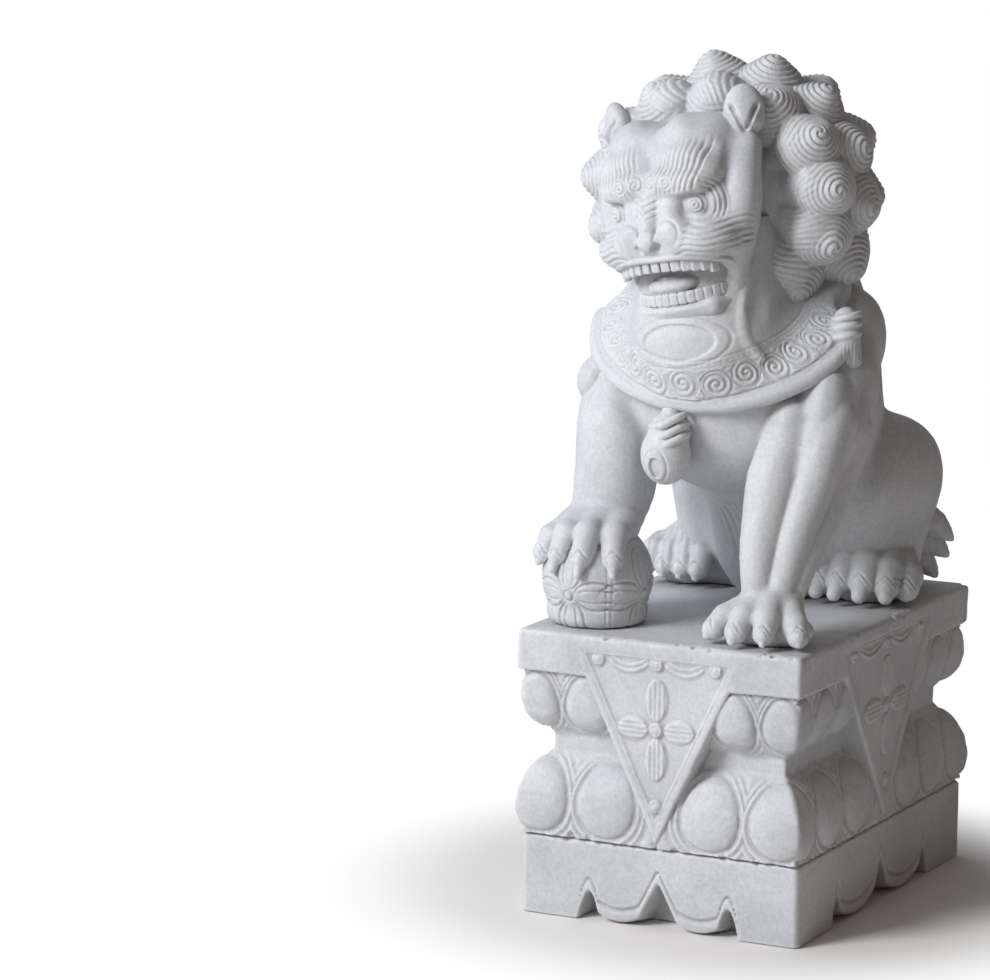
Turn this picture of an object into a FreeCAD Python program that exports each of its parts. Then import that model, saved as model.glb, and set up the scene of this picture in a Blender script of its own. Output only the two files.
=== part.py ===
import FreeCAD, Part

import math
import os

from FreeCAD import Matrix, Rotation, Vector

# Guardian lion ("foo dog") on a lotus pedestal, carved in light marble.
# Millimetres, +Z up, the lion looks towards -Y, origin on the floor at the centre of the plinth.

# ---------------------------------------------------------------- driving dimensions
SLAB_X = 320.0  # top slab of the pedestal, across the front
SLAB_Y = 450.0  # top slab of the pedestal, front to back
SLAB_T = 43.0  # height of the plain slab edge
SLAB_TOP = 302.0  # height of the face the lion sits on
EDGE_R = 4.0  # worn rounding of the slab edges

PLINTH_X = 314.0
PLINTH_Y = 436.0
PLINTH_H = 84.0  # height of the plinth course
PLINTH_EDGE_R = 2.5
APRON_DEPTH = 30.0  # how far the scallops are cut in from each face
NOTCH_H = 31.0  # height of the two side notches of the scalloped apron
PEAK_H = 47.0  # height of the middle notch
LOBE_H = 3.0  # clearance under the hanging lobes

BED_T = 2.0  # bedding joint between plinth and lotus block
FIGURE_BED_T = 1.5  # bedding pads under the figure and the ball

CORE_IN = 9.0  # how far the ground behind the petals sits inside the slab face
WAIST_IN = 35.0  # how far the waist sits inside the slab face
WAIST_Z0 = 172.0
WAIST_Z1 = 189.0
TIER_TOP_Z = 255.0  # top of the upper petals, under the slab

UPPER_PITCH = 56.0  # spacing of the upper petals
LOWER_PITCH = 78.0  # spacing of the lower petals
UPPER_IN = 28.5  # petal axes inside the slab face
LOWER_IN = 37.0
UPPER_Z = 219.0
LOWER_Z = 121.0

DRAPE_HALF_X = 98.0  # half width of the hanging cloth on the front and back
DRAPE_HALF_Y = 130.0  # half width of the hanging cloth on the two sides
DRAPE_TOP_Z = 296.0
DRAPE_TIP_Z = 92.0
DRAPE_T = 48.0  # thickness of stone left behind the cloth
DRAPE_BORDER = 13.0
RELIEF = 2.0  # depth of the sunk field and height of the studs
STUD_R = 6.5
BOSS_R = 8.0
PETAL_LONG = 26.0  # half length of a flower petal on the cloth
PETAL_WIDE = 11.0

PIN_R = 6.0  # steel dowels between the stones
PIN_GAP = 0.1  # radial and end clearance of a dowel in its hole
PLINTH_PIN_Y = 120.0
PLINTH_PIN_LEN = 60.0
FIGURE_PIN_X = 55.0
FIGURE_PIN_Y = 135.0
FIGURE_PIN_LEN = 80.0
BALL_PIN_R = 4.0
BALL_PIN_LEN = 50.0

BALL_X = -103.0
BALL_Y = -153.0
BALL_R = 58.0
BALL_CENTRE_H = 47.0  # height of the ball's centre over its flat foot
BALL_BED_R = 31.0
BALL_GAP = 0.3  # hairline joint between the paw and the ball

NUDGE = Vector(0.17, 0.23, 0.21)  # hair's breadth used when two seams coincide
MAX_NUDGES = 12
BURIED = 0.93  # start radius of a limb inside the end of the one before it

HEAD = Vector(-12.0, -98.0, 742.0)
HEAD_YAW = -6.0  # degrees about +Z, towards -X
HEAD_ROLL = 5.0  # degrees about the line of sight
MANE = Vector(4.0, -38.0, 762.0)
MANE_R = Vector(132.0, 108.0, 104.0)
CURL_R = 31.0
COLLAR = Vector(2.0, -62.0, 614.0)
COLLAR_R = Vector(146.0, 124.0, 40.0)
COLLAR_TILT = 42.0  # degrees, low at the front

LOTUS_BASE = PLINTH_H + BED_T
FIGURE_BASE = SLAB_TOP + FIGURE_BED_T


# ---------------------------------------------------------------- small helpers
def box(x0, x1, y0, y1, z0, z1):
    return Part.makeBox(x1 - x0, y1 - y0, z1 - z0, Vector(x0, y0, z0))


def ellipsoid(centre, rx, ry, rz, turn=None):
    """Ellipsoid with an optional rotation about its own centre."""
    unit = Part.makeSphere(1.0)
    # the seam is turned off the row axes, so that seams of neighbouring solids never line up
    unit.rotate(Vector(0, 0, 0), Vector(0.3, 0.5, 0.81), 31.0 + 0.37 * centre.x)
    scale = Matrix()
    scale.scale(rx, ry, rz)
    solid = unit.transformGeometry(scale)
    if turn is not None:
        solid.Placement = FreeCAD.Placement(Vector(0, 0, 0), turn)
    solid.translate(centre)
    return solid


def limb(p, q, r_p, r_q):
    """Round-ended taper between two points, as one solid of revolution."""
    length = (q - p).Length
    lean = (r_p - r_q) / length
    flare = math.sqrt(1.0 - lean * lean)
    # outline in the XZ plane from pole to pole: cap, straight flank tangent to both caps, cap
    foot = Vector(r_p * flare, 0, r_p * lean)
    head = Vector(r_q * flare, 0, length + r_q * lean)
    low_turn = 0.5 * (math.asin(lean) - math.pi / 2)
    high_turn = 0.5 * (math.asin(lean) + math.pi / 2)
    low_mid = Vector(r_p * math.cos(low_turn), 0, r_p * math.sin(low_turn))
    high_mid = Vector(r_q * math.cos(high_turn), 0, length + r_q * math.sin(high_turn))
    low_pole = Vector(0, 0, -r_p)
    high_pole = Vector(0, 0, length + r_q)
    outline = [
        arc(low_pole, low_mid, foot),
        line(foot, head),
        arc(head, high_mid, high_pole),
        line(high_pole, low_pole),
    ]
    face = Part.Face(Part.Wire(outline))
    solid = face.revolve(Vector(0, 0, 0), Vector(0, 0, 1), 360)
    solid.Placement = FreeCAD.Placement(p, Rotation(Vector(0, 0, 1), q - p))
    return solid


def chain(points, radii):
    """Limbs one after another through the given points, each starting a little inside the last."""
    pieces = []
    for i in range(len(points) - 1):
        start = radii[i] if i == 0 else radii[i] * BURIED
        pieces.append(limb(points[i], points[i + 1], start, radii[i + 1]))
    return pieces


def prism_y(wire_points, y0, y1):
    """Solid from a closed outline of edges in the XZ plane, between two Y values."""
    face = Part.Face(Part.Wire(wire_points))
    solid = face.extrude(Vector(0, y1 - y0, 0))
    solid.translate(Vector(0, y0, 0))
    return solid


def line(a, b):
    return Part.LineSegment(a, b).toShape()


def arc(a, mid, b):
    return Part.Arc(a, mid, b).toShape()


def quarter_turned(solid):
    """The same solid turned from the front face to the right-hand face."""
    return solid.rotated(Vector(0, 0, 0), Vector(0, 0, 1), 90)


def sound(union, parts):
    """A fused solid that is one closed piece and neither lost nor gained stone."""
    volumes = [p.Volume for p in parts]
    in_range = max(volumes) * 0.999 < union.Volume < sum(volumes) * 1.001
    return in_range and len(union.Solids) == 1 and union.isValid()


def joined(pieces):
    """Fuse touching solids; a piece whose seam lands badly on another is nudged by a hair."""
    whole = pieces[0].fuse(pieces[1:])
    if sound(whole, pieces):
        return whole.Solids[0]
    body = pieces[0]
    for number, piece in enumerate(pieces[1:], 1):
        for step in range(MAX_NUDGES):
            trial = piece.copy()
            trial.translate(NUDGE * step)
            union = body.fuse(trial)
            if sound(union, [body, trial]):
                body = union.Solids[0]
                break
        else:
            raise ValueError("piece %d of %d could not be joined" % (number, len(pieces)))
    return body


# ---------------------------------------------------------------- plinth course
def apron_cut(half_width, face_half):
    """Stone removed under one face of the plinth: notch, lobe, peak, lobe, notch."""
    s = half_width / 92.0

    def at(u, z):
        return Vector(u, 0, z)

    def notch_and_lobe(sign):
        notch = half_width * sign
        inner = notch - 26.0 * sign
        edges = [
            line(at(notch, -1), at(notch - 2 * sign, NOTCH_H * 0.45)),
            arc(
                at(notch - 2 * sign, NOTCH_H * 0.45),
                at(notch - 13 * sign, NOTCH_H),
                at(inner, NOTCH_H * 0.45),
            ),
            arc(at(inner, NOTCH_H * 0.45), at(42 * s * sign, LOBE_H), at(19 * s * sign, 11)),
            line(at(19 * s * sign, 11), at(6 * sign, PEAK_H * 0.8)),
        ]
        return edges

    edges = notch_and_lobe(1)
    edges.append(arc(at(6, PEAK_H * 0.8), at(0, PEAK_H), at(-6, PEAK_H * 0.8)))
    edges += list(reversed(notch_and_lobe(-1)))
    edges.append(line(at(-half_width, -1), at(half_width, -1)))
    wire = Part.Wire(Part.sortEdges(edges)[0])
    solid = Part.Face(wire).extrude(Vector(0, APRON_DEPTH + 1, 0))
    solid.translate(Vector(0, -face_half - 1, 0))
    return solid


def plinth_course():
    body = box(-PLINTH_X / 2, PLINTH_X / 2, -PLINTH_Y / 2, PLINTH_Y / 2, 0, PLINTH_H)
    upright = [e for e in body.Edges if abs(e.Vertexes[0].Z - e.Vertexes[1].Z) > 1]
    body = body.makeFillet(PLINTH_EDGE_R, upright)
    front = apron_cut(92.0, PLINTH_Y / 2)
    side = quarter_turned(apron_cut(128.0, PLINTH_X / 2))
    cuts = [front, front.mirror(Vector(0, 0, 0), Vector(0, 1, 0))]
    cuts += [side, side.mirror(Vector(0, 0, 0), Vector(1, 0, 0))]
    cuts += [pin_hole(0, y, PLINTH_H, -PLINTH_PIN_LEN / 2, PIN_R) for y in (-PLINTH_PIN_Y, PLINTH_PIN_Y)]
    return body.cut(cuts)


# ---------------------------------------------------------------- dowels and bedding
def pin_hole(x, y, mouth_z, depth, radius):
    """Blind hole from its mouth; a negative depth drills downwards."""
    reach = abs(depth) + PIN_GAP
    low = mouth_z - reach if depth < 0 else mouth_z
    return Part.makeCylinder(radius + PIN_GAP, reach, Vector(x, y, low))


def pin(x, y, z0, length, radius):
    body = Part.makeCylinder(radius, length, Vector(x, y, z0))
    rims = [e for e in body.Edges if isinstance(e.Curve, Part.Circle)]
    return body.makeChamfer(1.0, rims)


def plinth_pin(y):
    return pin(0, y, PLINTH_H - PLINTH_PIN_LEN / 2, PLINTH_PIN_LEN + BED_T, PIN_R)


def figure_pin(x):
    return pin(x, FIGURE_PIN_Y, SLAB_TOP - FIGURE_PIN_LEN / 2, FIGURE_PIN_LEN + FIGURE_BED_T, PIN_R)


def ball_pin():
    return pin(BALL_X, BALL_Y, SLAB_TOP - BALL_PIN_LEN / 2, BALL_PIN_LEN + FIGURE_BED_T, BALL_PIN_R)


def plinth_bed():
    bed = box(-PLINTH_X / 2 + 3, PLINTH_X / 2 - 3, -PLINTH_Y / 2 + 3, PLINTH_Y / 2 - 3, PLINTH_H, LOTUS_BASE)
    holes = [Part.makeCylinder(PIN_R + PIN_GAP, BED_T, Vector(0, y, PLINTH_H)) for y in (-PLINTH_PIN_Y, PLINTH_PIN_Y)]
    return bed.cut(holes)


def bedding_pad(x0, x1, y0, y1, corner_r):
    """Pad of stone adhesive on the slab, drawn in a little from the foot that stands on it."""
    pad = box(x0, x1, y0, y1, SLAB_TOP, FIGURE_BASE)
    upright = [e for e in pad.Edges if e.BoundBox.ZLength > FIGURE_BED_T / 2]
    return pad.makeFillet(corner_r, upright)


def haunch_bed():
    pad = bedding_pad(-104.0, 104.0, 88.0, 172.0, 24.0)
    holes = [
        Part.makeCylinder(PIN_R + PIN_GAP, FIGURE_BED_T, Vector(x, FIGURE_PIN_Y, SLAB_TOP))
        for x in (-FIGURE_PIN_X, FIGURE_PIN_X)
    ]
    return pad.cut(holes)


def forepaw_bed():
    return bedding_pad(48.0, 104.0, -178.0, -144.0, 12.0)


def ball_bed():
    pad = Part.makeCylinder(BALL_BED_R, FIGURE_BED_T, Vector(BALL_X, BALL_Y, SLAB_TOP))
    return pad.cut(Part.makeCylinder(BALL_PIN_R + PIN_GAP, FIGURE_BED_T, Vector(BALL_X, BALL_Y, SLAB_TOP)))


# ---------------------------------------------------------------- lotus pedestal
def block_outline(half):
    """Silhouette of the lotus block behind its petals, as edges in the XZ plane."""

    def side(sign):
        def at(inset, z):
            return Vector(sign * (half - inset), 0, z)

        slab_base = SLAB_TOP - SLAB_T
        return [
            line(at(5, LOTUS_BASE), at(6, LOTUS_BASE + 9)),
            arc(at(6, LOTUS_BASE + 9), at(15, 134), at(WAIST_IN, WAIST_Z0)),
            arc(at(WAIST_IN, WAIST_Z0), at(WAIST_IN + 2, 180), at(WAIST_IN, WAIST_Z1)),
            arc(at(WAIST_IN, WAIST_Z1), at(18, 218), at(CORE_IN, TIER_TOP_Z)),
            line(at(CORE_IN, TIER_TOP_Z), at(3, slab_base)),
            line(at(3, slab_base), at(3, SLAB_TOP - 8)),
        ]

    low = line(Vector(-(half - 5), 0, LOTUS_BASE), Vector(half - 5, 0, LOTUS_BASE))
    high = line(Vector(-(half - 3), 0, SLAB_TOP - 8), Vector(half - 3, 0, SLAB_TOP - 8))
    edges = side(1) + side(-1) + [low, high]
    return Part.Wire(Part.sortEdges(edges)[0])


def petal(x, y, base_z, wide_r, narrow_r, rise):
    """Egg-shaped boss standing in the block, wide end down."""
    return limb(Vector(x, y, base_z), Vector(x, y, base_z + rise), wide_r, narrow_r)


def petal_rows(half_u, face):
    """Upper and lower petals of one face, spaced evenly between the corner petals."""
    upper_count = round(2.0 * half_u / UPPER_PITCH)
    lower_count = round(2.0 * half_u / LOWER_PITCH)
    rows = []
    for i in range(1, upper_count):
        u = -half_u + 2.0 * half_u * i / upper_count
        rows.append(petal(u, UPPER_IN - face, UPPER_Z, 26.0, 24.0, 10.0))
    for i in range(1, lower_count):
        u = -half_u + 2.0 * half_u * i / lower_count
        rows.append(petal(u, LOWER_IN - face, LOWER_Z, 34.0, 28.0, 14.0))
    return rows


def corner_petals():
    corners = []
    for sx in (-1, 1):
        for sy in (-1, 1):
            x, y = sx * (SLAB_X / 2 - UPPER_IN), sy * (SLAB_Y / 2 - UPPER_IN)
            corners.append(petal(x, y, UPPER_Z, 26.0, 24.0, 10.0))
            x, y = sx * (SLAB_X / 2 - LOWER_IN), sy * (SLAB_Y / 2 - LOWER_IN)
            corners.append(petal(x, y, LOWER_Z, 34.0, 28.0, 14.0))
    return corners


def lotus_petals():
    front = petal_rows(SLAB_X / 2 - UPPER_IN, SLAB_Y / 2)
    side = petal_rows(SLAB_Y / 2 - UPPER_IN, SLAB_X / 2)
    return all_faces(front, side) + corner_petals()


def triangle_face(half_width, shrink, y):
    """Hanging triangle drawn in by shrink from the cloth's outline, with its half width and tip."""
    rate = half_width / (DRAPE_TOP_Z - DRAPE_TIP_Z)
    top = DRAPE_TOP_Z - shrink
    side = half_width - shrink * (rate + math.sqrt(1.0 + rate * rate))
    tip = top - side / rate
    corners = [Vector(-side, y, top), Vector(side, y, top), Vector(0, y, tip)]
    return Part.Face(Part.makePolygon(corners + [corners[0]])), side, tip


def drape(half_width, face_half):
    """Triangular cloth over one face: its body, its sunk field and the relief in the field."""
    outline, _, _ = triangle_face(half_width, 0.0, -face_half)
    cloth = outline.extrude(Vector(0, DRAPE_T, 0))
    field, side, tip = triangle_face(half_width, DRAPE_BORDER, -face_half - 1)
    sunk = field.extrude(Vector(0, RELIEF + 1, 0))
    back = -face_half + RELIEF
    top = DRAPE_TOP_Z - DRAPE_BORDER

    def disc(x, z, radius):
        return Part.makeCylinder(radius, RELIEF + 4, Vector(x, back + 4, z), Vector(0, -1, 0))

    spots = [(0.0, top - 4), (side - 9, top - 4), (9 - side, top - 4), (0.0, tip + 14)]
    relief = [disc(x, z, STUD_R) for x, z in spots]
    middle = 0.5 * (top + tip) + 16
    relief.append(disc(0.0, middle, BOSS_R))
    for dx, dz in ((0, 1), (0, -1), (1, 0), (-1, 0)):
        reach = PETAL_LONG + 6.0
        centre = Vector(dx * reach * 0.8, back + 1, middle + dz * reach)
        relief.append(
            ellipsoid(
                centre,
                PETAL_LONG * 0.8 if dx else PETAL_WIDE,
                RELIEF,
                PETAL_WIDE if dx else PETAL_LONG,
            )
        )
    return cloth, sunk, relief


def all_faces(front, side):
    """Copies of front solids on front and back, and of side solids on the two sides."""
    around = front + [p.mirror(Vector(0, 0, 0), Vector(0, 1, 0)) for p in front]
    side = [quarter_turned(p) for p in side]
    return around + side + [p.mirror(Vector(0, 0, 0), Vector(1, 0, 0)) for p in side]


def lotus_pedestal():
    across = Part.Face(block_outline(SLAB_X / 2)).extrude(Vector(0, SLAB_Y, 0))
    across.translate(Vector(0, -SLAB_Y / 2, 0))
    along = Part.Face(block_outline(SLAB_Y / 2)).extrude(Vector(0, SLAB_X, 0))
    along.translate(Vector(0, -SLAB_X / 2, 0))
    core = across.common(quarter_turned(along))
    slab = box(-SLAB_X / 2, SLAB_X / 2, -SLAB_Y / 2, SLAB_Y / 2, SLAB_TOP - SLAB_T, SLAB_TOP)
    slab = slab.makeFillet(EDGE_R, [e for e in slab.Edges if e.BoundBox.ZMax > SLAB_TOP - 1])
    front_cloth, front_field, front_relief = drape(DRAPE_HALF_X, SLAB_Y / 2)
    side_cloth, side_field, side_relief = drape(DRAPE_HALF_Y, SLAB_X / 2)
    block = core.fuse([slab] + lotus_petals() + all_faces([front_cloth], [side_cloth]))
    block = block.common(box(-SLAB_X / 2, SLAB_X / 2, -SLAB_Y / 2, SLAB_Y / 2, LOTUS_BASE, SLAB_TOP))
    block = block.cut(all_faces([front_field], [side_field]))
    block = block.fuse(all_faces(front_relief, side_relief))
    holes = [pin_hole(0, y, LOTUS_BASE, PLINTH_PIN_LEN / 2, PIN_R) for y in (-PLINTH_PIN_Y, PLINTH_PIN_Y)]
    holes += [pin_hole(x, FIGURE_PIN_Y, SLAB_TOP, -FIGURE_PIN_LEN / 2, PIN_R) for x in (-FIGURE_PIN_X, FIGURE_PIN_X)]
    holes.append(pin_hole(BALL_X, BALL_Y, SLAB_TOP, -BALL_PIN_LEN / 2, BALL_PIN_R))
    return block.cut(holes)


# ---------------------------------------------------------------- lion figure
def head_point(x, y, z):
    """Point of the head, given along its own axes from its centre."""
    return HEAD + head_turn().multVec(Vector(x, y, z))


def head_turn():
    return Rotation(Vector(0, 0, 1), HEAD_YAW) * Rotation(Vector(0, 1, 0), -HEAD_ROLL)


def torso():
    """Chest, belly, back and rump."""
    return [
        ellipsoid(Vector(2, -62, 540), 118, 88, 118),
        ellipsoid(Vector(8, 20, 520), 116, 100, 128),
        ellipsoid(Vector(8, 96, 420), 112, 106, 134),
        limb(Vector(4, 30, 640), Vector(6, 110, 480), 92, 88),
        limb(Vector(0, -40, 640), Vector(0, -60, 560), 96, 108),
    ]


def haunches():
    thighs = [limb(Vector(s * 78, 84, 426), Vector(s * 77, 138, 376), 68, 72) for s in (-1, 1)]
    seat = limb(Vector(-64, 136, 338), Vector(66, 135, 340), 63, 64)
    shanks = [
        limb(Vector(96, 62, 362), Vector(94, 108, 331), 41, 37),
        limb(Vector(-96, 61, 377), Vector(-120, 96, 332), 40, 35),
    ]
    return thighs + [seat] + shanks


def toes(centre, heading, count, spread, reach, radius, drop):
    """Fan of rounded toes with a short claw each; heading is the direction the paw points."""
    pieces = []
    for i in range(count):
        turn = heading + (i - (count - 1) / 2.0) * spread
        way = Vector(math.sin(math.radians(turn)), -math.cos(math.radians(turn)), 0)
        side = Vector(way.y, -way.x, 0) * -1.0
        root = centre + side * ((i - (count - 1) / 2.0) * radius * 1.35)
        knuckle = root + way * (reach * 0.62)
        tip = root + way * reach + Vector(0, 0, -drop)
        claw = tip + way * (radius * 0.75) + Vector(0, 0, -radius * 0.35)
        pieces.append(limb(root, knuckle, radius * 1.1, radius))
        pieces.append(limb(knuckle, tip, radius * BURIED, radius * 0.82))
        pieces.append(limb(tip, claw, radius * 0.62, radius * 0.3))
    return pieces


def foreleg_on_ball():
    leg = chain(
        [Vector(-104, -74, 560), Vector(-101, -110, 496), Vector(-96, -122, 430), Vector(-97, -134, 402)],
        [52, 53, 48, 40],
    )
    return leg + toes(Vector(-98, -158, 408), -6.0, 4, 13.0, 34.0, 14.0, 22.0)


def slanted_foreleg():
    leg = chain(
        [Vector(110, -66, 566), Vector(110, -92, 512), Vector(104, -112, 452), Vector(86, -142, 356)],
        [52, 48, 38, 27],
    )
    leg.append(limb(Vector(86, -142, 356), Vector(80, -150, 332), 25, 30))
    leg.append(limb(Vector(52, -151, 321), Vector(102, -152, 320), 22, 23))
    return leg + toes(Vector(76, -164, 316.5), -4.0, 4, 16.0, 30.0, 15.0, 3.0)


def hind_paw(sign):
    """Broad paw under one haunch, toes to the front."""
    heel = limb(Vector(sign * 72, 116, 324), Vector(sign * 116, 117, 325), 34, 33)
    return [heel] + toes(Vector(sign * 94, 98, 318), 0.0, 4, 5.0, 24.0, 17.0, 3.0)


def head():
    turn = head_turn()
    skull = ellipsoid(HEAD, 84, 78, 90, turn)
    forehead = ellipsoid(head_point(0, -26, 48), 60, 48, 50, turn)
    brows = [ellipsoid(head_point(s * 30, -58, 14), 34, 22, 20, turn) for s in (-1, 1)]
    muzzle = ellipsoid(head_point(0, -62, -34), 64, 44, 30, turn)
    nose = [ellipsoid(head_point(0, -94, -22), 24, 15, 15, turn)]
    nose += [Part.makeSphere(12.5, head_point(s * 20, -92, -24)) for s in (-1, 1)]
    nose.append(limb(head_point(0, -78, 4), head_point(0, -92, -16), 15, 14))
    eyes = [Part.makeSphere(16, head_point(s * 37, -70, -4)) for s in (-1, 1)]
    jaw = ellipsoid(head_point(0, -44, -84), 52, 44, 26, turn)
    cheeks = [limb(head_point(s * 57, -22, 34), head_point(s * 46, -34, -64), 27, 25) for s in (-1, 1)]
    ears = []
    for s in (-1, 1):
        ears.append(limb(head_point(s * 58, -22, 76), head_point(s * 66, -25, 102), 17, 12))
    return [skull, forehead, muzzle, jaw] + brows + nose + eyes + cheeks + ears


def mouth():
    """Open mouth cut into the head, given back as the cutting solid."""
    turn = head_turn()
    return ellipsoid(head_point(0, -84, -64), 40, 34, 13, turn)


def mouth_parts():
    """Tongue and the two rows of teeth standing in the open mouth."""
    pieces = [ellipsoid(head_point(0, -62, -70), 26, 26, 9, head_turn())]
    for row_z, size in ((-56.0, 5.5), (-74.0, 4.5)):
        for i in range(9):
            angle = math.radians((i - 4) * 13.0)
            spot = head_point(44 * math.sin(angle), -48 - 42 * math.cos(angle), row_z)
            pieces.append(Part.makeSphere(size, spot))
    return pieces


def mane():
    """Mass of the mane with rows of large snail curls over it."""
    pieces = [ellipsoid(MANE, MANE_R.x, MANE_R.y, MANE_R.z)]
    pieces.append(limb(MANE + Vector(0, 30, -40), MANE + Vector(0, 52, -104), 104, 96))
    rows = (  # height, half width, half depth, upward lean, bearing kept clear at the face, curls
        (858.0, 30.0, 26.0, 75.0, 0.0, 5),
        (836.0, 82.0, 64.0, 50.0, 20.0, 11),
        (800.0, 112.0, 90.0, 26.0, 50.0, 12),
        (752.0, 122.0, 100.0, 4.0, 62.0, 11),
        (704.0, 122.0, 104.0, -12.0, 68.0, 10),
        (656.0, 112.0, 106.0, -28.0, 76.0, 8),
    )
    for height, half_x, half_y, lean, clear, count in rows:
        back = 0.12 * (MANE.z + 70.0 - height)
        up = math.radians(lean)
        for i in range(count):
            bearing = math.radians(clear + (360.0 - 2.0 * clear) * (i + 0.5) / count)
            foot = Vector(MANE.x + half_x * math.sin(bearing), MANE.y + back - half_y * math.cos(bearing), height)
            way = Vector(math.sin(bearing) * math.cos(up), -math.cos(bearing) * math.cos(up), math.sin(up))
            pieces.append(limb(foot - way * 12.0, foot + way * 17.0, CURL_R, CURL_R * 0.66))
    return pieces


def collar():
    """Broad collar lying over the chest and shoulders like a tilted saucer."""
    return [ellipsoid(COLLAR, COLLAR_R.x, COLLAR_R.y, COLLAR_R.z, Rotation(Vector(1, 0, 0), COLLAR_TILT))]


def bell():
    """Bell hanging from the collar, under its crumpled knot."""
    centre = Vector(-24, -160, 496)
    return [ellipsoid(centre, 26, 26, 30), limb(centre + Vector(2, 6, 30), centre + Vector(2, 30, 28), 17, 16)]


def shoulder_knots():
    """Tied ends of the collar on the two shoulders, joined through the neck."""
    left = Vector(132, -52, 622)
    right = Vector(-130, -64, 600)
    tassel = limb(left + Vector(0.4, 0.2, 0.1), left + Vector(10, -4, -36), 14, 11)
    return [limb(left, right, 22, 22.5), tassel]


def tail():
    """Short flame-shaped tail against the rear of the haunch."""
    root = Vector(30, 190, 340)
    tip = Vector(118, 192, 356)
    pieces = [limb(root, tip, 26, 20)]
    for i in range(4):
        start = root + (tip - root) * (i / 3.0)
        pieces.append(limb(start, start + Vector(12, 12, -26 + 12 * i), 15, 6))
    return pieces


def head_solid():
    shell = joined(head()).cut(mouth()).Solids[0]
    return joined([shell] + mouth_parts())


def lion_figure():
    groups = [
        torso() + haunches(),
        foreleg_on_ball(),
        slanted_foreleg(),
        hind_paw(1),
        hind_paw(-1),
        collar(),
        bell(),
        shoulder_knots(),
        tail(),
        mane(),
    ]
    body = joined([joined(group) for group in groups] + [head_solid()])
    clearance = Part.makeSphere(BALL_R + BALL_GAP, ball_centre())
    below = box(-400, 400, -400, 400, 0, FIGURE_BASE)
    holes = [pin_hole(x, FIGURE_PIN_Y, FIGURE_BASE, FIGURE_PIN_LEN / 2, PIN_R) for x in (-FIGURE_PIN_X, FIGURE_PIN_X)]
    return body.cut([below, clearance] + holes)


# ---------------------------------------------------------------- ball
def ball_centre():
    return Vector(BALL_X, BALL_Y, FIGURE_BASE + BALL_CENTRE_H)


def brocade_ball():
    ball = Part.makeSphere(BALL_R, ball_centre())
    ball = ball.cut(box(-400, 400, -400, 400, 0, FIGURE_BASE))
    return ball.cut(pin_hole(BALL_X, BALL_Y, FIGURE_BASE, BALL_PIN_LEN / 2, BALL_PIN_R))



# ---------------------------------------------------------------- assembly
def write(node, shape):
    shape.exportStep("parts/%s.step" % node)


def main():
    os.makedirs("parts", exist_ok=True)
    write("plinth_course", plinth_course())
    write("plinth_bed", plinth_bed())
    write("plinth_dowel_front", plinth_pin(-PLINTH_PIN_Y))
    write("plinth_dowel_back", plinth_pin(PLINTH_PIN_Y))
    write("lotus_pedestal", lotus_pedestal())
    write("figure_bed_haunches", haunch_bed())
    write("figure_bed_forepaw", forepaw_bed())
    write("figure_dowel_left", figure_pin(FIGURE_PIN_X))
    write("figure_dowel_right", figure_pin(-FIGURE_PIN_X))
    write("lion_figure", lion_figure())
    write("ball_bed", ball_bed())
    write("ball_dowel", ball_pin())
    write("brocade_ball", brocade_ball())


main()
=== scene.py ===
import math
import random
from concurrent.futures import ThreadPoolExecutor

import bpy
import numpy as np
from mathutils import Matrix, Vector


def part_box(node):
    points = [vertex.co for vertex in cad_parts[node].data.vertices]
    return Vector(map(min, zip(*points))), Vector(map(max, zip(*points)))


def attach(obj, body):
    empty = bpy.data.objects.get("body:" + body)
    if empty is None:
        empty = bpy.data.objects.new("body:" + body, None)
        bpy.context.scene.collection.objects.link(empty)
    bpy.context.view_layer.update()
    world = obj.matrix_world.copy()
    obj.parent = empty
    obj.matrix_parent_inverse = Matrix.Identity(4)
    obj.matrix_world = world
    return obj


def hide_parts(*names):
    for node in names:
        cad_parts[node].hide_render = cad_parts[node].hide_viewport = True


# Guardian lion on a lotus pedestal, sculpted as signed distance fields and meshed here.
# Sculpting works in millimetres in the row frame; objects are scaled to metres when made.

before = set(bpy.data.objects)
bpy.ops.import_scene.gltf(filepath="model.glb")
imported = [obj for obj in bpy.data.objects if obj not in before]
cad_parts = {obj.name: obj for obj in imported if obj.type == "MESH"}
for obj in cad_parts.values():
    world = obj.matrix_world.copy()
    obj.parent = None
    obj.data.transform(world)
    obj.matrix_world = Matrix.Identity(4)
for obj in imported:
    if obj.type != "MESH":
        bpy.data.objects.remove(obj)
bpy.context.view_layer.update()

F = np.float32
MM = 0.001
TURN = 2 * math.pi
COARSE = 1.0

# ------------------------------------------------------------------ sizes from the frame


def node_box(node):
    low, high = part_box(node)
    return np.array(low) / MM, np.array(high) / MM


block_low, block_high = node_box("lotus_pedestal")
ball_low, ball_high = node_box("brocade_ball")

HALF_X, HALF_Y, SLAB_TOP = block_high
SLAB_BASE = SLAB_TOP - 43.0
LOTUS_BASE = block_low[2]
PLINTH_HALF_X, PLINTH_HALF_Y, PLINTH_TOP = node_box("plinth_course")[1]
FOOT = node_box("lion_figure")[0][2]  # level the figure stands on

# ------------------------------------------------------------------ distance fields


def vec(*v):
    return np.array(v, F)


def spin(axis, degrees):
    """Rotation matrix about a row axis."""
    c, s = math.cos(math.radians(degrees)), math.sin(math.radians(degrees))
    if axis == "x":
        return np.array([[1, 0, 0], [0, c, -s], [0, s, c]], F)
    if axis == "y":
        return np.array([[c, 0, s], [0, 1, 0], [-s, 0, c]], F)
    return np.array([[c, -s, 0], [s, c, 0], [0, 0, 1]], F)


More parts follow.
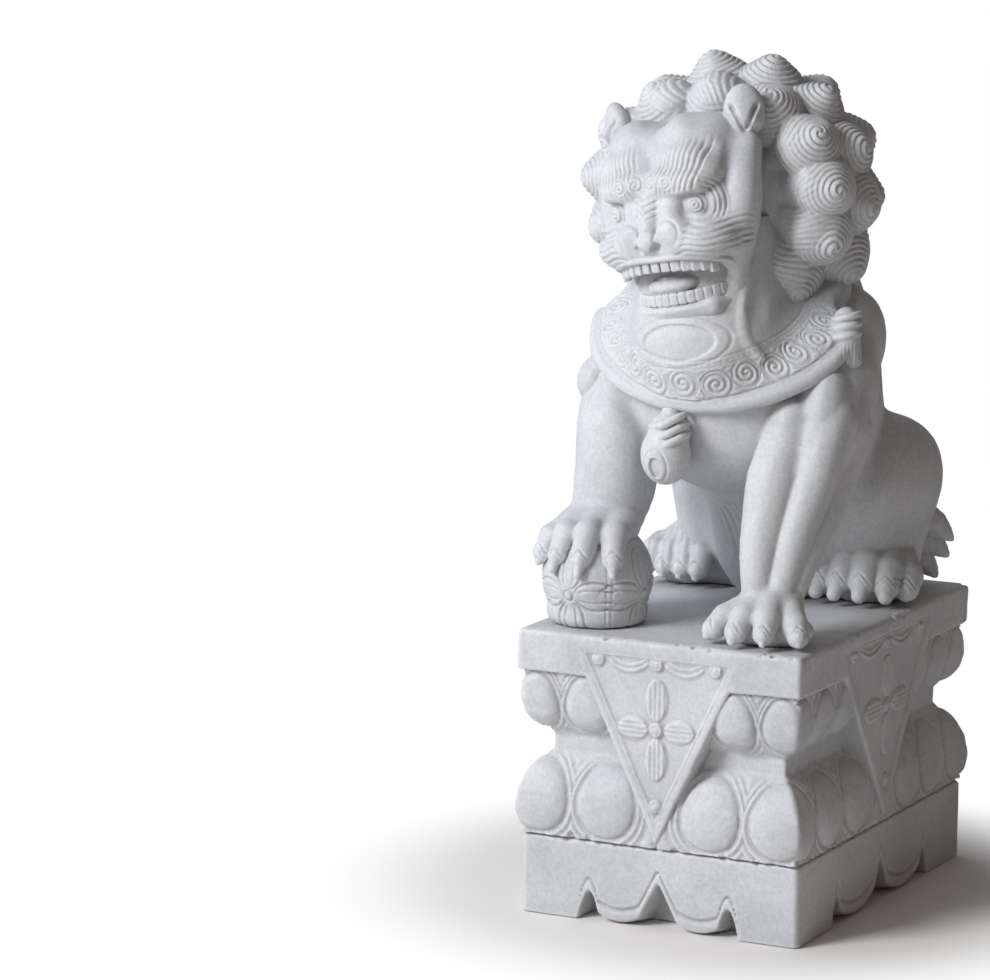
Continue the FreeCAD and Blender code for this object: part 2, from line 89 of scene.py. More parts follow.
class Shape:
    """A distance function with the sphere that holds it."""

    def __init__(self, fn, centre, reach):
        self.fn = fn
        self.centre = np.array(centre, F)
        self.reach = float(reach)


def to_local(p, centre, turn):
    q = p - centre[:, None]
    return q if turn is None else turn.T @ q


def length(q):
    return np.sqrt((q * q).sum(0))


def egg(centre, radii, turn=None):
    """Ellipsoid."""
    c, r = vec(*centre), vec(*radii)[:, None]

    def fn(p):
        q = to_local(p, c, turn) / r
        k0 = length(q)
        k1 = length(q / r)
        return k0 * (k0 - 1.0) / np.maximum(k1, 1e-5)

    return Shape(fn, centre, max(radii))


def limb(a, b, ra, rb):
    """Round-ended taper."""
    a, b = vec(*a), vec(*b)
    ab = b - a
    inv = 1.0 / float(ab @ ab)

    def fn(p):
        q = p - a[:, None]
        t = np.clip((ab @ q) * inv, 0.0, 1.0)
        return length(q - ab[:, None] * t) - (ra + (rb - ra) * t)

    return Shape(fn, (a + b) / 2, math.sqrt(float(ab @ ab)) / 2 + max(ra, rb))


def slab(centre, half, r, turn=None):
    """Box with rounded edges."""
    c, h = vec(*centre), vec(*half)[:, None] - r

    def fn(p):
        q = np.abs(to_local(p, c, turn)) - h
        return length(np.maximum(q, 0.0)) + np.minimum(q.max(0), 0.0) - r

    return Shape(fn, centre, float(np.linalg.norm(half)))


def hoop(centre, rx, ry, r, turn=None):
    """Rolled ring along an ellipse in the local XY plane."""
    c = vec(*centre)

    def fn(p):
        q = to_local(p, c, turn)
        k0 = np.sqrt((q[0] / rx) ** 2 + (q[1] / ry) ** 2)
        k1 = np.sqrt((q[0] / rx**2) ** 2 + (q[1] / ry**2) ** 2)
        flat = k0 * (k0 - 1.0) / np.maximum(k1, 1e-6)
        return np.sqrt(flat * flat + q[2] * q[2]) - r

    return Shape(fn, centre, max(rx, ry) + r)


def path(points, radii):
    """Chain of limbs through points."""
    limbs = [limb(points[i], points[i + 1], radii[i], radii[i + 1]) for i in range(len(points) - 1)]
    pts = np.array(points, F)
    centre = pts.mean(0)
    reach = float(np.linalg.norm(pts - centre, axis=1).max()) + max(radii)

    def fn(p):
        d = limbs[0].fn(p)
        for part in limbs[1:]:
            d = np.minimum(d, part.fn(p))
        return d

    return Shape(fn, centre, reach)


def curve(points, steps):
    """Smooth Catmull-Rom curve through a few points."""
    pts = np.array([points[0]] + list(points) + [points[-1]], float)
    out = []
    for i in range(1, len(pts) - 2):
        p0, p1, p2, p3 = pts[i - 1 : i + 3]
        for s in range(steps):
            t = s / steps
            squared = (2 * p0 - 5 * p1 + 4 * p2 - p3) * t**2
            cubed = (3 * p1 - p0 - 3 * p2 + p3) * t**3
            out.append(0.5 * (2 * p1 + (p2 - p0) * t + squared + cubed))
    out.append(pts[-2])
    return [tuple(o) for o in out]


def cord(points, radii, steps=4):
    """Limbs along a smooth curve, the radius running through the given values."""
    line = curve(points, steps)
    along = np.linspace(0, len(radii) - 1, len(line))
    return path(line, list(np.interp(along, range(len(radii)), radii)))


def blend(a, b, k):
    """Smooth minimum."""
    if k <= 0:
        return np.minimum(a, b)
    h = np.maximum(k - np.abs(a - b), 0.0) / k
    return np.minimum(a, b) - h * h * (k * 0.25)


def ridges(s, pitch):
    """0 on rounded ridges and 1 at the bottom of the narrow grooves between them."""
    return 1.0 - np.abs(np.sin((math.pi / pitch) * s))


def spiral(r, angle, pitch):
    """Grooves that wind once round per pitch."""
    return ridges(r + angle * (pitch / TURN), pitch)


def near_line(s, width):
    """1 on the line s = 0, falling to 0 at the given half width."""
    return np.clip(1.0 - np.abs(s) / width, 0.0, 1.0)


def fade(s, start, end):
    """0 before start, 1 after end, smooth between; start may be above end."""
    t = np.clip((s - start) / (end - start), 0.0, 1.0)
    return t * t * (3.0 - 2.0 * t)


def swell(p, size, seed):
    """Soft hand-worked unevenness between about -1 and 1."""
    rng = np.random.default_rng(seed)
    total = np.zeros(p.shape[1], F)
    for _ in range(5):
        way = rng.normal(size=3)
        way = (way / np.linalg.norm(way) * (TURN / size) * rng.uniform(0.7, 1.5)).astype(F)
        total += np.sin(way @ p + F(rng.uniform(0, 6.28)))
    return total * 0.3


def chips(p, sizes, seed, least):
    """Small scattered losses where two unevennesses meet."""
    return np.maximum(swell(p, sizes[0], seed) * swell(p, sizes[1], seed + 1) - least, 0.0) * 7.0


FAR = 500.0  # distance given to space before any shape is added
SUB = 4  # cells along the small blocks that are skipped when far from the surface
CORNER = 0.87  # half diagonal of a cube against its side
DEEPEST = 3.2  # carving that a coarse look at a block may miss, in millimetres


class Sculpt:
    """Ordered list of additions, cuts and carvings, with the box they live in."""

    def __init__(self, low, high, fold=False):
        self.low, self.high, self.fold = np.array(low, float), np.array(high, float), fold
        self.block = 24  # grid cells along a block of work
        self.ops = []

    def add(self, shape, k=0.0):
        self.ops.append(("add", shape.fn, shape.centre, shape.reach, k))

    def cut(self, shape, k=0.0):
        self.ops.append(("cut", shape.fn, shape.centre, shape.reach, k))

    def carve(self, centre, reach, fn):
        """fn(p) gives how deep the stone is cut there, negative for raised work."""
        self.ops.append(("carve", fn, np.array(centre, F), float(reach), 0.0))

    def near(self, centre, half_diagonal):
        c = np.array(centre, F)
        if self.fold:
            c = np.array([abs(c[0]), c[1], c[2]], F)
        return [o for o in self.ops if np.linalg.norm(o[2] - c) < half_diagonal + o[3] + o[4] + 5.0]

    def value(self, p, ops):
        if self.fold:
            p = np.stack([np.abs(p[0]), p[1], p[2]])
        d = np.full(p.shape[1], FAR, F)
        for kind, fn, _, _, k in ops:
            if kind == "add":
                d = blend(d, fn(p), k)
            elif kind == "cut":
                d = -blend(-d, fn(p), k)
            else:
                d = d + fn(p)
        return d


def sample(sculpt, h):
    """Distances on a grid, filled only close to the surface."""
    block = sculpt.block
    count = np.ceil((sculpt.high - sculpt.low) / h / block).astype(int)
    grid = np.full(count * block, np.nan, F)
    base = np.arange(0, block, SUB)
    si = np.stack(np.meshgrid(base, base, base, indexing="ij"), 0).reshape(3, -1)
    fine = np.arange(SUB)
    fi = np.stack(np.meshgrid(fine, fine, fine, indexing="ij"), 0).reshape(3, -1)
    band = SUB * h * CORNER * 1.25 + DEEPEST

    def work(index):
        corner = np.array(index) * block
        middle = sculpt.low + (corner + block / 2) * h
        ops = sculpt.near(middle, block * h * CORNER)
        if not any(o[0] == "add" for o in ops):
            return
        centres = (sculpt.low[:, None] + (corner[:, None] + si + (SUB - 1) / 2) * h).astype(F)
        rough = sculpt.value(centres, ops)
        keep = np.abs(rough) < band
        if not keep.any():
            return
        cells = (si[:, keep][:, :, None] + fi[:, None, :]).reshape(3, -1)
        p = (sculpt.low[:, None] + (corner[:, None] + cells) * h).astype(F)
        at = corner[:, None] + cells
        grid[at[0], at[1], at[2]] = sculpt.value(p, ops)

    jobs = [(i, j, k) for i in range(count[0]) for j in range(count[1]) for k in range(count[2])]
    with ThreadPoolExecutor(4) as pool:
        list(pool.map(work, jobs))
    return grid


def skin(grid, low, h):
    """Surface nets: one vertex per crossed cell, one quad per crossed grid edge."""
    shape = np.array(grid.shape)
    known = ~np.isnan(grid)
    inside = grid < 0
    stride = np.array([shape[1] * shape[2], shape[2], 1])
    flat = grid.reshape(-1)
    ids, points, flips = [], [], []
    for axis in range(3):
        a = [slice(None)] * 3
        b = [slice(None)] * 3
        a[axis] = slice(0, -1)
        b[axis] = slice(1, None)
        a, b = tuple(a), tuple(b)
        hit = (inside[a] != inside[b]) & known[a] & known[b]
        at = np.stack(np.nonzero(hit), 0)
        o1, o2 = (axis + 1) % 3, (axis + 2) % 3
        at = at[:, (at[o1] > 0) & (at[o2] > 0)]
        one = (at * stride[:, None]).sum(0)
        d0, d1 = flat[one], flat[one + stride[axis]]
        where = at.astype(F)
        where[axis] += d0 / (d0 - d1)
        s1, s2 = stride[o1], stride[o2]
        ids.append(np.stack([one - s1 - s2, one - s2, one, one - s1], 0))
        points.append(where)
        flips.append(d0 < 0)
    ids = np.concatenate(ids, 1)
    points = np.concatenate(points, 1)
    flips = np.concatenate(flips)
    used = np.zeros(flat.size, bool)
    used[ids.reshape(-1)] = True
    table = np.zeros(flat.size, np.int32)
    total = int(used.sum())
    table[used] = np.arange(total, dtype=np.int32)
    quads = table[ids]
    count = np.bincount(quads.reshape(-1), minlength=total)
    verts = np.empty((total, 3), np.float64)
    for axis in range(3):
        verts[:, axis] = np.bincount(quads.reshape(-1), np.tile(points[axis], 4), total) / count
    quads = quads.T.copy()
    quads[flips] = quads[flips][:, ::-1]
    quads = quads[:, ::-1]
    return verts * h + low, quads


def hollows(verts, quads, rounds):
    """How far each vertex lies below its smoothed surroundings, in millimetres."""
    n = len(verts)
    normal = np.zeros((n, 3))
    across = np.cross(verts[quads[:, 2]] - verts[quads[:, 0]], verts[quads[:, 3]] - verts[quads[:, 1]])
    for axis in range(3):
        for corner in range(4):
            normal[:, axis] += np.bincount(quads[:, corner], across[:, axis], n)
    normal /= np.maximum(np.linalg.norm(normal, axis=1, keepdims=True), 1e-9)
    flat = quads.reshape(-1)
    count = np.bincount(flat, minlength=n)
    soft = verts.copy()
    for _ in range(rounds):
        centre = soft[quads].mean(1)
        for axis in range(3):
            soft[:, axis] = np.bincount(flat, np.repeat(centre[:, axis], 4), n) / count
    return ((soft - verts) * normal).sum(1)


def placed(name, data):
    """Object for a mesh, light or camera, linked to the scene."""
    obj = bpy.data.objects.new(name, data)
    bpy.context.scene.collection.objects.link(obj)
    return obj


def stand_for(obj, node):
    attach(obj, "root")
    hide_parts(node)


def make_object(name, verts, quads, material, turn=None, origin=None):
    mesh = bpy.data.meshes.new(name)
    mesh.vertices.add(len(verts))
    mesh.vertices.foreach_set("co", (verts * MM).astype(F).reshape(-1))
    mesh.loops.add(quads.size)
    mesh.loops.foreach_set("vertex_index", quads.astype(np.int32).reshape(-1))
    mesh.polygons.add(len(quads))
    mesh.polygons.foreach_set("loop_start", np.arange(0, quads.size, 4, dtype=np.int32))
    mesh.polygons.foreach_set("loop_total", np.full(len(quads), 4, np.int32))
    mesh.polygons.foreach_set("use_smooth", np.ones(len(quads), bool))
    mesh.update(calc_edges=True)
    hollow = mesh.attributes.new("hollow", "FLOAT", "POINT")
    hollow.data.foreach_set("value", hollows(verts, quads, 8).astype(F))
    mesh.materials.append(material)
    obj = placed(name, mesh)
    if origin is not None:
        obj.matrix_world = Matrix.Translation(Vector(origin) * MM) @ Matrix(turn.tolist()).to_4x4()
    return obj


def sculpted(name, sculpt, cell, material, node, turn=None, origin=None):
    grid = sample(sculpt, cell * COARSE)
    verts, quads = skin(grid, sculpt.low, cell * COARSE)
    stand_for(make_object(name, verts, quads, material, turn, origin), node)


# ------------------------------------------------------------------ materials


class Graph:
    """Adds and links the shader nodes of one material or world."""

    def __init__(self, owner):
        owner.use_nodes = True
        self.nodes, self.links = owner.node_tree.nodes, owner.node_tree.links
        self.nodes.clear()

    def feed(self, value, socket):
        """Link an output to the socket, or set the socket's own value."""
        if hasattr(value, "links"):
            self.links.new(value, socket)
        else:
            socket.default_value = value

    def add(self, kind, inputs=None, **values):
        node = self.nodes.new("ShaderNode" + kind)
        for key, value in values.items():
            setattr(node, key, value)
        for name, value in (inputs or {}).items():
            self.feed(value, node.inputs[name])
        return node

    def ramp(self, source, stops):
        node = self.add("ValToRGB", {"Fac": source})
        elements = node.color_ramp.elements
        while len(elements) < len(stops):
            elements.new(0.5)
        for element, (position, colour) in zip(elements, stops):
            element.position = position
            element.color = colour + (1.0,)
        return node.outputs["Color"]

    def noise(self, scale, detail, rough=0.55, distortion=0.0):
        """Noise fixed to the object."""
        coords = self.add("TexCoord").outputs["Object"]
        settings = {"Vector": coords, "Scale": scale, "Detail": detail}
        settings.update({"Roughness": rough, "Distortion": distortion})
        return self.add("TexNoise", settings).outputs["Fac"]

    def mixed(self, kind, factor, a, b):
        return self.add("Mix", {0: factor, 6: a, 7: b}, data_type="RGBA", blend_type=kind).outputs[2]

    def maths(self, operation, a, b):
        return self.add("Math", {0: a, 1: b}, operation=operation).outputs[0]

    def spread(self, value, low, high, to_low=0.0, to_high=1.0, ease="LINEAR"):
        limits = {"From Min": low, "From Max": high, "To Min": to_low, "To Max": to_high}
        node = self.add("MapRange", limits, clamp=True, interpolation_type=ease)
        self.feed(value, node.inputs["Value"])
        return node.outputs["Result"]

    def bump(self, height, strength, distance):
        return self.add("Bump", {"Height": height, "Strength": strength, "Distance": distance}).outputs[0]

    def surface(self, shader):
        self.add("OutputMaterial", {"Surface": shader})


# brown-grey colour of the painted shade and dirt in the hollows
SHADE_AND_DIRT = (0.34, 0.32, 0.295, 1.0)
RUBBED = (0.86, 0.87, 0.88, 1.0)
CLOUD_STOPS = [(0.3, (0.57, 0.59, 0.615)), (0.55, (0.68, 0.695, 0.715)), (0.75, (0.75, 0.765, 0.78))]
GRAIN_STOPS = [(0.35, (0.86, 0.86, 0.86)), (0.65, (1.04, 1.04, 1.04))]
VEIN_STOPS = [(0.47, (1.0, 1.0, 1.0)), (0.5, (0.88, 0.885, 0.9)), (0.53, (1.0, 1.0, 1.0))]


def marble_material():
    """Pale grey-white marble: faint cloudy mottling, painted shade and dirt in the hollows, satin wear on
    ridges.
    """
    mat = bpy.data.materials.new("marble")
    g = Graph(mat)
    hollow = g.add("Attribute", attribute_name="hollow").outputs["Fac"]
    open_sky = g.add("AmbientOcclusion", {"Distance": 0.045}, samples=6).outputs["AO"]
    cloud = g.ramp(g.noise(7.0, 5.0, 0.6, 0.4), CLOUD_STOPS)
    grain = g.ramp(g.noise(260.0, 3.0, 0.7), GRAIN_STOPS)
    vein = g.ramp(g.noise(3.2, 8.0, 0.65, 2.4), VEIN_STOPS)
    stone = g.mixed("MULTIPLY", 0.5, g.mixed("MULTIPLY", 0.8, cloud, grain), vein)
    # painted shade, with some dirt, darkens tight grooves and the places ambient occlusion finds
    # sheltered, broken up by noise
    groove = g.spread(hollow, 0.12, 0.9)
    occlusion_shade = g.spread(open_sky, 0.85, 0.25)
    patch = g.spread(g.noise(38.0, 4.0), 0.35, 0.7, 0.4, 1.0)
    shade_and_dirt = g.maths("MULTIPLY", g.maths("MAXIMUM", groove, g.maths("MULTIPLY", occlusion_shade, 0.6)), patch)
    worn = g.spread(hollow, -0.1, -0.9)
    # painted shade and dirt mixed into the stone colour
    stone = g.mixed("MIX", g.maths("MULTIPLY", shade_and_dirt, 0.72), stone, SHADE_AND_DIRT)
    stone = g.mixed("MIX", g.maths("MULTIPLY", worn, 0.35), stone, RUBBED)
    satin = g.maths("ADD", g.maths("MULTIPLY", g.noise(55.0, 4.0), 0.28), 0.36)
    tooling = g.maths("ADD", g.maths("MULTIPLY", g.noise(900.0, 3.0), 0.35), g.noise(170.0, 5.0, 0.65))
    body = g.add("BsdfPrincipled", {
        "Base Color": stone,
        "Roughness": g.maths("ADD", satin, g.maths("MULTIPLY", shade_and_dirt, 0.2)),
        "Subsurface Weight": 0.12,
        "Subsurface Radius": (0.006, 0.005, 0.0045),
        "Subsurface Scale": 1.0,
        "Specular IOR Level": 0.42,
        "Normal": g.bump(tooling, 0.35, 0.0012),
    })
    g.surface(body.outputs[0])
    return mat


def plain_material(name, dark, light, metallic, rough, grain_scale):
    """Bedding and dowel material: two-tone grain, uneven roughness and a little bump."""
    mat = bpy.data.materials.new(name)
    g = Graph(mat)
    grain = g.noise(grain_scale, 5.0, 0.5)
    body = g.add("BsdfPrincipled", {
        "Base Color": g.ramp(grain, [(0.0, dark), (1.0, light)]),
        "Roughness": g.spread(grain, 0.0, 1.0, rough - 0.12, rough + 0.12),
        "Metallic": metallic,
        "Normal": g.bump(grain, 1.0, 0.0006),
    })
    g.surface(body.outputs[0])
    return mat


# ------------------------------------------------------------------ plinth course


APRON_X, APRON_Y = 92.0, 128.0  # half widths of the scalloped part of each face


def stone_block(name, fn, half_x, half_y, low_z, high_z, cell, material, node):
    """Mesh a whole block of stone from one distance function."""
    low, high = np.array([-half_x, -half_y, low_z]), np.array([half_x, half_y, high_z])
    sculpt = Sculpt(low, high)
    sculpt.block = 48
    sculpt.add(Shape(fn, (low + high) / 2, float(np.linalg.norm(high - low)) / 2))
    sculpted(name, sculpt, cell, material, node)


def apron_height(u, half):
    """Lower edge of the scalloped apron: foot, notch, lobe, peak, lobe, notch, foot."""
    a = np.abs(u)
    notch_at, lobe_at = half - 13.0, half * 0.49
    notch = 31.0 - 0.2 * (a - notch_at) ** 2
    lobe = 2.5 + 0.012 * (a - lobe_at) ** 2 * (92.0 / half) ** 2
    peak = 47.0 - 1.9 * np.maximum(a - 1.5, 0.0)
    height = np.maximum(lobe, np.maximum(notch, peak))
    height = np.where(a > notch_at, notch, height)
    return np.where(a > half, -40.0, height)


def plinth_field(p):
    x, y, z = p
    ax, ay = np.abs(x) - PLINTH_HALF_X, np.abs(y) - PLINTH_HALF_Y
    wave = swell(p, 70.0, 3) * 0.5
    side = -blend(-ax, -ay, 7.0)
    rounded = -blend(-side, PLINTH_TOP - z, 4.0)
    d = np.maximum(rounded, -z) + wave * fade(z, 2.0, 10.0) * fade(z, PLINTH_TOP - 1, PLINTH_TOP - 6)
    for u, outward, half in ((x, ay, APRON_X), (y, ax, APRON_Y)):
        edge = apron_height(u, half)
        # the undercut slopes in behind the scallops
        under = edge - z - 0.25 * np.maximum(-outward, 0.0)
        gap = np.minimum(under * 0.5, outward + 34.0)
        d = -blend(-d, -gap, 2.5)
        line = near_line(z - edge - 12.0, 3.2) * fade(np.abs(u), half + 2.0, half - 6.0)
        d = d + line * 3.4 * fade(outward, -6.0, -3.0)
    edge_zone = fade(np.minimum(-ax, -ay), 14.0, 0.0) * fade(np.abs(z - PLINTH_TOP), 9.0, 1.0)
    return d + chips(p, (13.0, 31.0), 8, 0.16) * edge_zone


# ------------------------------------------------------------------ lotus pedestal

# height and inset of the face: base fillet, swelling lower course, flat waist, swelling upper course
LOTUS_PROFILE = [
    (74.0, 2.0), (82.0, 5.0), (112.0, 5.0), (132.0, 7.0), (148.0, 12.0), (158.0, 17.0),
    (166.0, 23.0), (171.0, 27.0), (174.0, 28.0), (188.0, 28.0), (191.0, 27.0), (196.0, 23.0),
    (204.0, 17.0), (214.0, 12.0), (228.0, 8.5), (246.0, 7.0),
]
UPPER_Z, WAIST_Z, LOWER_Z = 226.0, 181.0, 128.0
# per course: centre height, half width, half height and taper of a petal,
# then the inset, pitch and pairs on the narrow faces and on the wide ones
UPPER_PETALS = (UPPER_Z, 23.0, 30.0, -0.16, (21.0, 56.0, 3), (19.0, 56.0, 4))
LOWER_PETALS = (LOWER_Z, 32.0, 38.0, -0.12, (24.0, 77.0, 2), (18.0, 70.0, 3))
SWELLING = 7.5
DRAPE_TOP, DRAPE_TIP = SLAB_TOP - 7.0, LOTUS_BASE + 5.0
DRAPE_X, DRAPE_Y = 98.0, 130.0  # half widths of the hanging cloths


def petal_spots(half, inset, pitch, pairs):
    """Petal centres along a face, in pairs counted inwards from the corners."""
    away = [half - inset - pitch * i for i in range(pairs)]
    return away + [-spot for spot in away]


def petal_relief(u, z, spots, centre_z, wide, tall, taper):
    """A row of pillow-shaped petals with a double outline and a leaf between neighbours."""
    near = np.full(u.shape, 99.0, F)
    for spot in spots:
        width = wide * (1.0 + taper * (z - centre_z) / tall)
        near = np.minimum(near, np.sqrt(((u - spot) / width) ** 2 + ((z - centre_z) / tall) ** 2))
    pillow = SWELLING * np.sqrt(np.clip(1.0 - near**3, 0.0, 1.0))
    low_side = 1.0 + 0.22 * np.clip((centre_z - z) / tall, -1.0, 1.0)
    rims = 2.6 * near_line(near - 1.17, 0.085) + 2.3 * near_line(near - 1.36, 0.08)
    leaf = fade(near, 1.5, 1.62) * 1.8
    return pillow * low_side + (rims + leaf) * fade(np.abs(z - WAIST_Z), 7.0, 20.0)


def drape_relief(u, z, half):
    """Depth of the carving on a hanging cloth; also gives the cloth's outline distance."""
    rate = half / (DRAPE_TOP - DRAPE_TIP)
    slope = math.sqrt(1.0 + rate * rate)
    inward = np.minimum((half - (DRAPE_TOP - z) * rate - np.abs(u)) / slope, DRAPE_TOP - z)
    depth = 2.0 * fade(inward, 10.0, 12.0)
    depth = depth + 1.1 * near_line(inward - 8.2, 1.4)
    stretch = half / DRAPE_X
    top = DRAPE_TOP - 16.0
    middle = 0.5 * (DRAPE_TOP + DRAPE_TIP) + 18.0
    corner = half - 32.0 * stretch
    studs = [(0.0, top), (-corner, top), (corner, top), (0.0, DRAPE_TIP + 40.0)]
    raised = np.zeros(u.shape, F)
    for su, sz in studs:
        r = np.sqrt((u - su) ** 2 + (z - sz) ** 2)
        raised = np.maximum(raised, 2.6 * fade(r, 8.0, 5.5) - 1.2 * near_line(r - 4.2, 1.3))
    r = np.sqrt(u**2 + (z - middle) ** 2)
    raised = np.maximum(raised, 3.0 * fade(r, 8.5, 6.0) - 1.2 * near_line(r - 4.6, 1.3))
    for across, along, reach in ((u, z - middle, 44.0), (z - middle, u / stretch, 34.0)):
        # two opposite petals: pointed ovals with inner lines
        t = (np.abs(along) - 9.0) / reach
        width = 13.0 * np.sqrt(np.clip(t * (1.0 - t) * 4.0, 0.0, 1.0))
        body = fade(width - np.abs(across), -0.5, 2.5)
        lines = ridges(across, 5.2) * 1.0
        raised = np.maximum(raised, (2.1 - lines) * body)
    for side in (-1.0, 1.0):
        # swag under the upper border
        s = (u * side - 0.32 * half) / (0.22 * half)
        drop = z - (top - 9.0 * (1.0 - s * s))
        raised = np.maximum(raised, 1.8 * fade(np.abs(s), 1.05, 0.9) * near_line(drop, 3.0))
        raised = np.maximum(raised, 1.2 * fade(np.abs(s), 1.05, 0.9) * near_line(drop - 6.0, 2.0))
    return inward, depth - 1.45 * raised * fade(inward, 11.0, 13.0)


def lotus_field(p):
    x, y, z = p
    ax, ay = np.abs(x) - HALF_X, np.abs(y) - HALF_Y
    wave = swell(p, 60.0, 5) * 0.6 + swell(p, 17.0, 6) * 0.2
    inset = np.interp(z, *zip(*LOTUS_PROFILE)).astype(F)
    lift_x = np.zeros(z.shape, F)
    lift_y = np.zeros(z.shape, F)
    for centre, wide, tall, taper, front, side in (UPPER_PETALS, LOWER_PETALS):
        band = fade(np.abs(z - centre), tall * 1.42, tall * 1.28)
        shape = (centre, wide, tall, taper)
        lift_y = lift_y + petal_relief(x, z, petal_spots(HALF_X, *front), *shape) * band
        lift_x = lift_x + petal_relief(y, z, petal_spots(HALF_Y, *side), *shape) * band
    d = -blend(-(ax + inset - lift_x), -(ay + inset - lift_y), 4.0) * 0.6
    d = np.maximum(d, np.maximum(LOTUS_BASE - z, z - SLAB_BASE - 3.0))
    # slab, its worn edges and the step under it
    top = -blend(-ax, -ay, 6.0)
    top = -blend(-top, -(z - SLAB_TOP), 7.0)
    top = -blend(-top, -(SLAB_BASE - z), 3.0)
    d = blend(d, top, 1.0)
    # hanging cloths
    for along, across, half in ((x, ay, DRAPE_X), (y, ax, DRAPE_Y)):
        inward, depth = drape_relief(along, z, half)
        cloth = -blend(np.minimum(inward, across + 60.0), -across, 2.5)
        d = blend(d, cloth, 0.8)
        d = d + depth * fade(across, -6.0, -3.0) * fade(inward, 0.0, 1.0)
    d = np.maximum(d, z - SLAB_TOP)
    rims = fade(np.minimum(np.abs(z - SLAB_TOP), np.abs(z - LOTUS_BASE)), 8.0, 1.0)
    edge_zone = rims * fade(np.maximum(ax, ay), -12.0, -2.0)
    worked = wave * fade(z, LOTUS_BASE, LOTUS_BASE + 6) * fade(z, SLAB_TOP - 1, SLAB_TOP - 5)
    return d + worked + chips(p, (12.0, 29.0), 18, 0.17) * edge_zone


# ------------------------------------------------------------------ lion body

HEAD = vec(-18.0, -100.0, 745.0)
HEAD_TURN = spin("z", -10.0) @ spin("y", -10.0) @ spin("x", 6.0)
COLLAR = vec(2.0, -66.0, 612.0)
COLLAR_TURN = spin("x", 40.0)
COLLAR_X, COLLAR_Y = 146.0, 118.0
BALL_R = 58.0
BALL = vec((ball_low[0] + ball_high[0]) / 2, (ball_low[1] + ball_high[1]) / 2, ball_high[2] - BALL_R)


def toe(sculpt, root, knuckle, tip, r, k=3.0, claw=0.34):
    """Fleshy toe over a claw that has a V-shaped fold at its root."""
    root, knuckle, tip = vec(*root), vec(*knuckle), vec(*tip)
    way = (tip - knuckle) / np.linalg.norm(tip - knuckle)
    sculpt.add(limb(root, knuckle, r * 1.15, r * 1.02), k + 3)
    pad = knuckle + way * float(np.linalg.norm(tip - knuckle)) * 0.55
    sculpt.add(limb(knuckle, pad, r * 1.0, r * 0.86), k)
    claw_root = pad - way * r * 0.1 + vec(0, 0, r * 0.18)
    sculpt.add(limb(claw_root, tip - way * r * 0.35, r * 0.72, r * claw), 0.8)
    side = np.cross(way, vec(0, 0, 1))
    side = side / max(float(np.linalg.norm(side)), 1e-6)
    face = np.cross(side, way)

    def fold(p):
        q = p - pad[:, None]
        along, across, out = way @ q, np.abs(side @ q), face @ q
        vee = along - 0.9 * across
        mark = near_line(vee + r * 0.35, 1.6) + 0.7 * near_line(vee - r * 0.05, 1.3)
        return 2.4 * mark * fade(across, r * 0.85, r * 0.55) * fade(out, r * 0.1, r * 0.4)

    sculpt.carve(pad, r * 1.8, fold)


def toes(sculpt, roots, knuckles, tips, r, **shape):
    for root, knuckle, tip in zip(roots, knuckles, tips):
        toe(sculpt, root, knuckle, tip, r, **shape)


def fur_lines(points_of, centre, reach, pitch, depth):
    """Shallow combed lines within a ball-shaped patch; points_of(p) is the line coordinate."""
    c = vec(*centre)

    def fn(p):
        inside = fade(length(p - c[:, None]), reach, reach * 0.6)
        return depth * ridges(points_of(p), pitch) * inside

    return c, reach, fn


def flat_foot(sculpt):
    """Cut everything below the level the figure stands on."""
    sculpt.cut(Shape(lambda p: p[2] - FOOT, (0, 0, FOOT), 400.0))


def trunk(s):
    s.add(egg((2, -60, 545), (112, 86, 112)))
    s.add(egg((10, 24, 524), (122, 100, 128)), 30)
    s.add(egg((8, 104, 420), (108, 100, 130)), 34)
    s.add(limb((4, 10, 660), (6, 92, 520), 92, 92), 30)
    s.add(limb((4, -30, 660), (2, -40, 560), 96, 106), 24)


def haunches(s):
    """Haunches and seat; the near haunch is the fuller one."""
    s.add(egg((-75, 126, 402), (61, 86, 94), spin("x", -8)), 12)
    s.add(egg((-79, 84, 424), (44, 54, 50)), 16)
    s.add(limb((-80, 92, 372), (-98, 110, 338), 30, 36), 10)
    s.add(egg((84, 126, 402), (64, 86, 94), spin("x", -8)), 12)
    s.add(egg((90, 84, 424), (44, 54, 50)), 16)
    s.add(limb((92, 92, 372), (98, 110, 338), 36, 36), 10)
    s.add(limb((-70, 134, 338), (70, 134, 338), 62, 62), 16)
    s.add(egg((104, 128, 432), (54, 72, 62)), 14)
    # belly drawn in behind the forelegs, with combed fur on its front
    s.add(egg((0, 60, 380), (62, 52, 90)), 20)
    s.carve(*fur_lines(lambda p: p[0] * 0.9 + p[2] * 0.25, (10, 10, 400), 62, 8.0, 1.3))


def shoulders(s):
    s.add(egg((-108, -64, 540), (44, 50, 62), spin("x", 10)), 20)
    s.add(egg((114, -50, 552), (46, 52, 62), spin("x", 10)), 20)
    s.add(egg((131, -104, 547), (20, 21, 33), spin("x", -24)), 2)
    s.add(egg((100, -2, 592), (46, 58, 60)), 14)
    s.add(egg((-94, -2, 584), (46, 58, 60)), 14)
    s.add(limb((0, 20, 640), (4, 70, 560), 96, 100), 16)


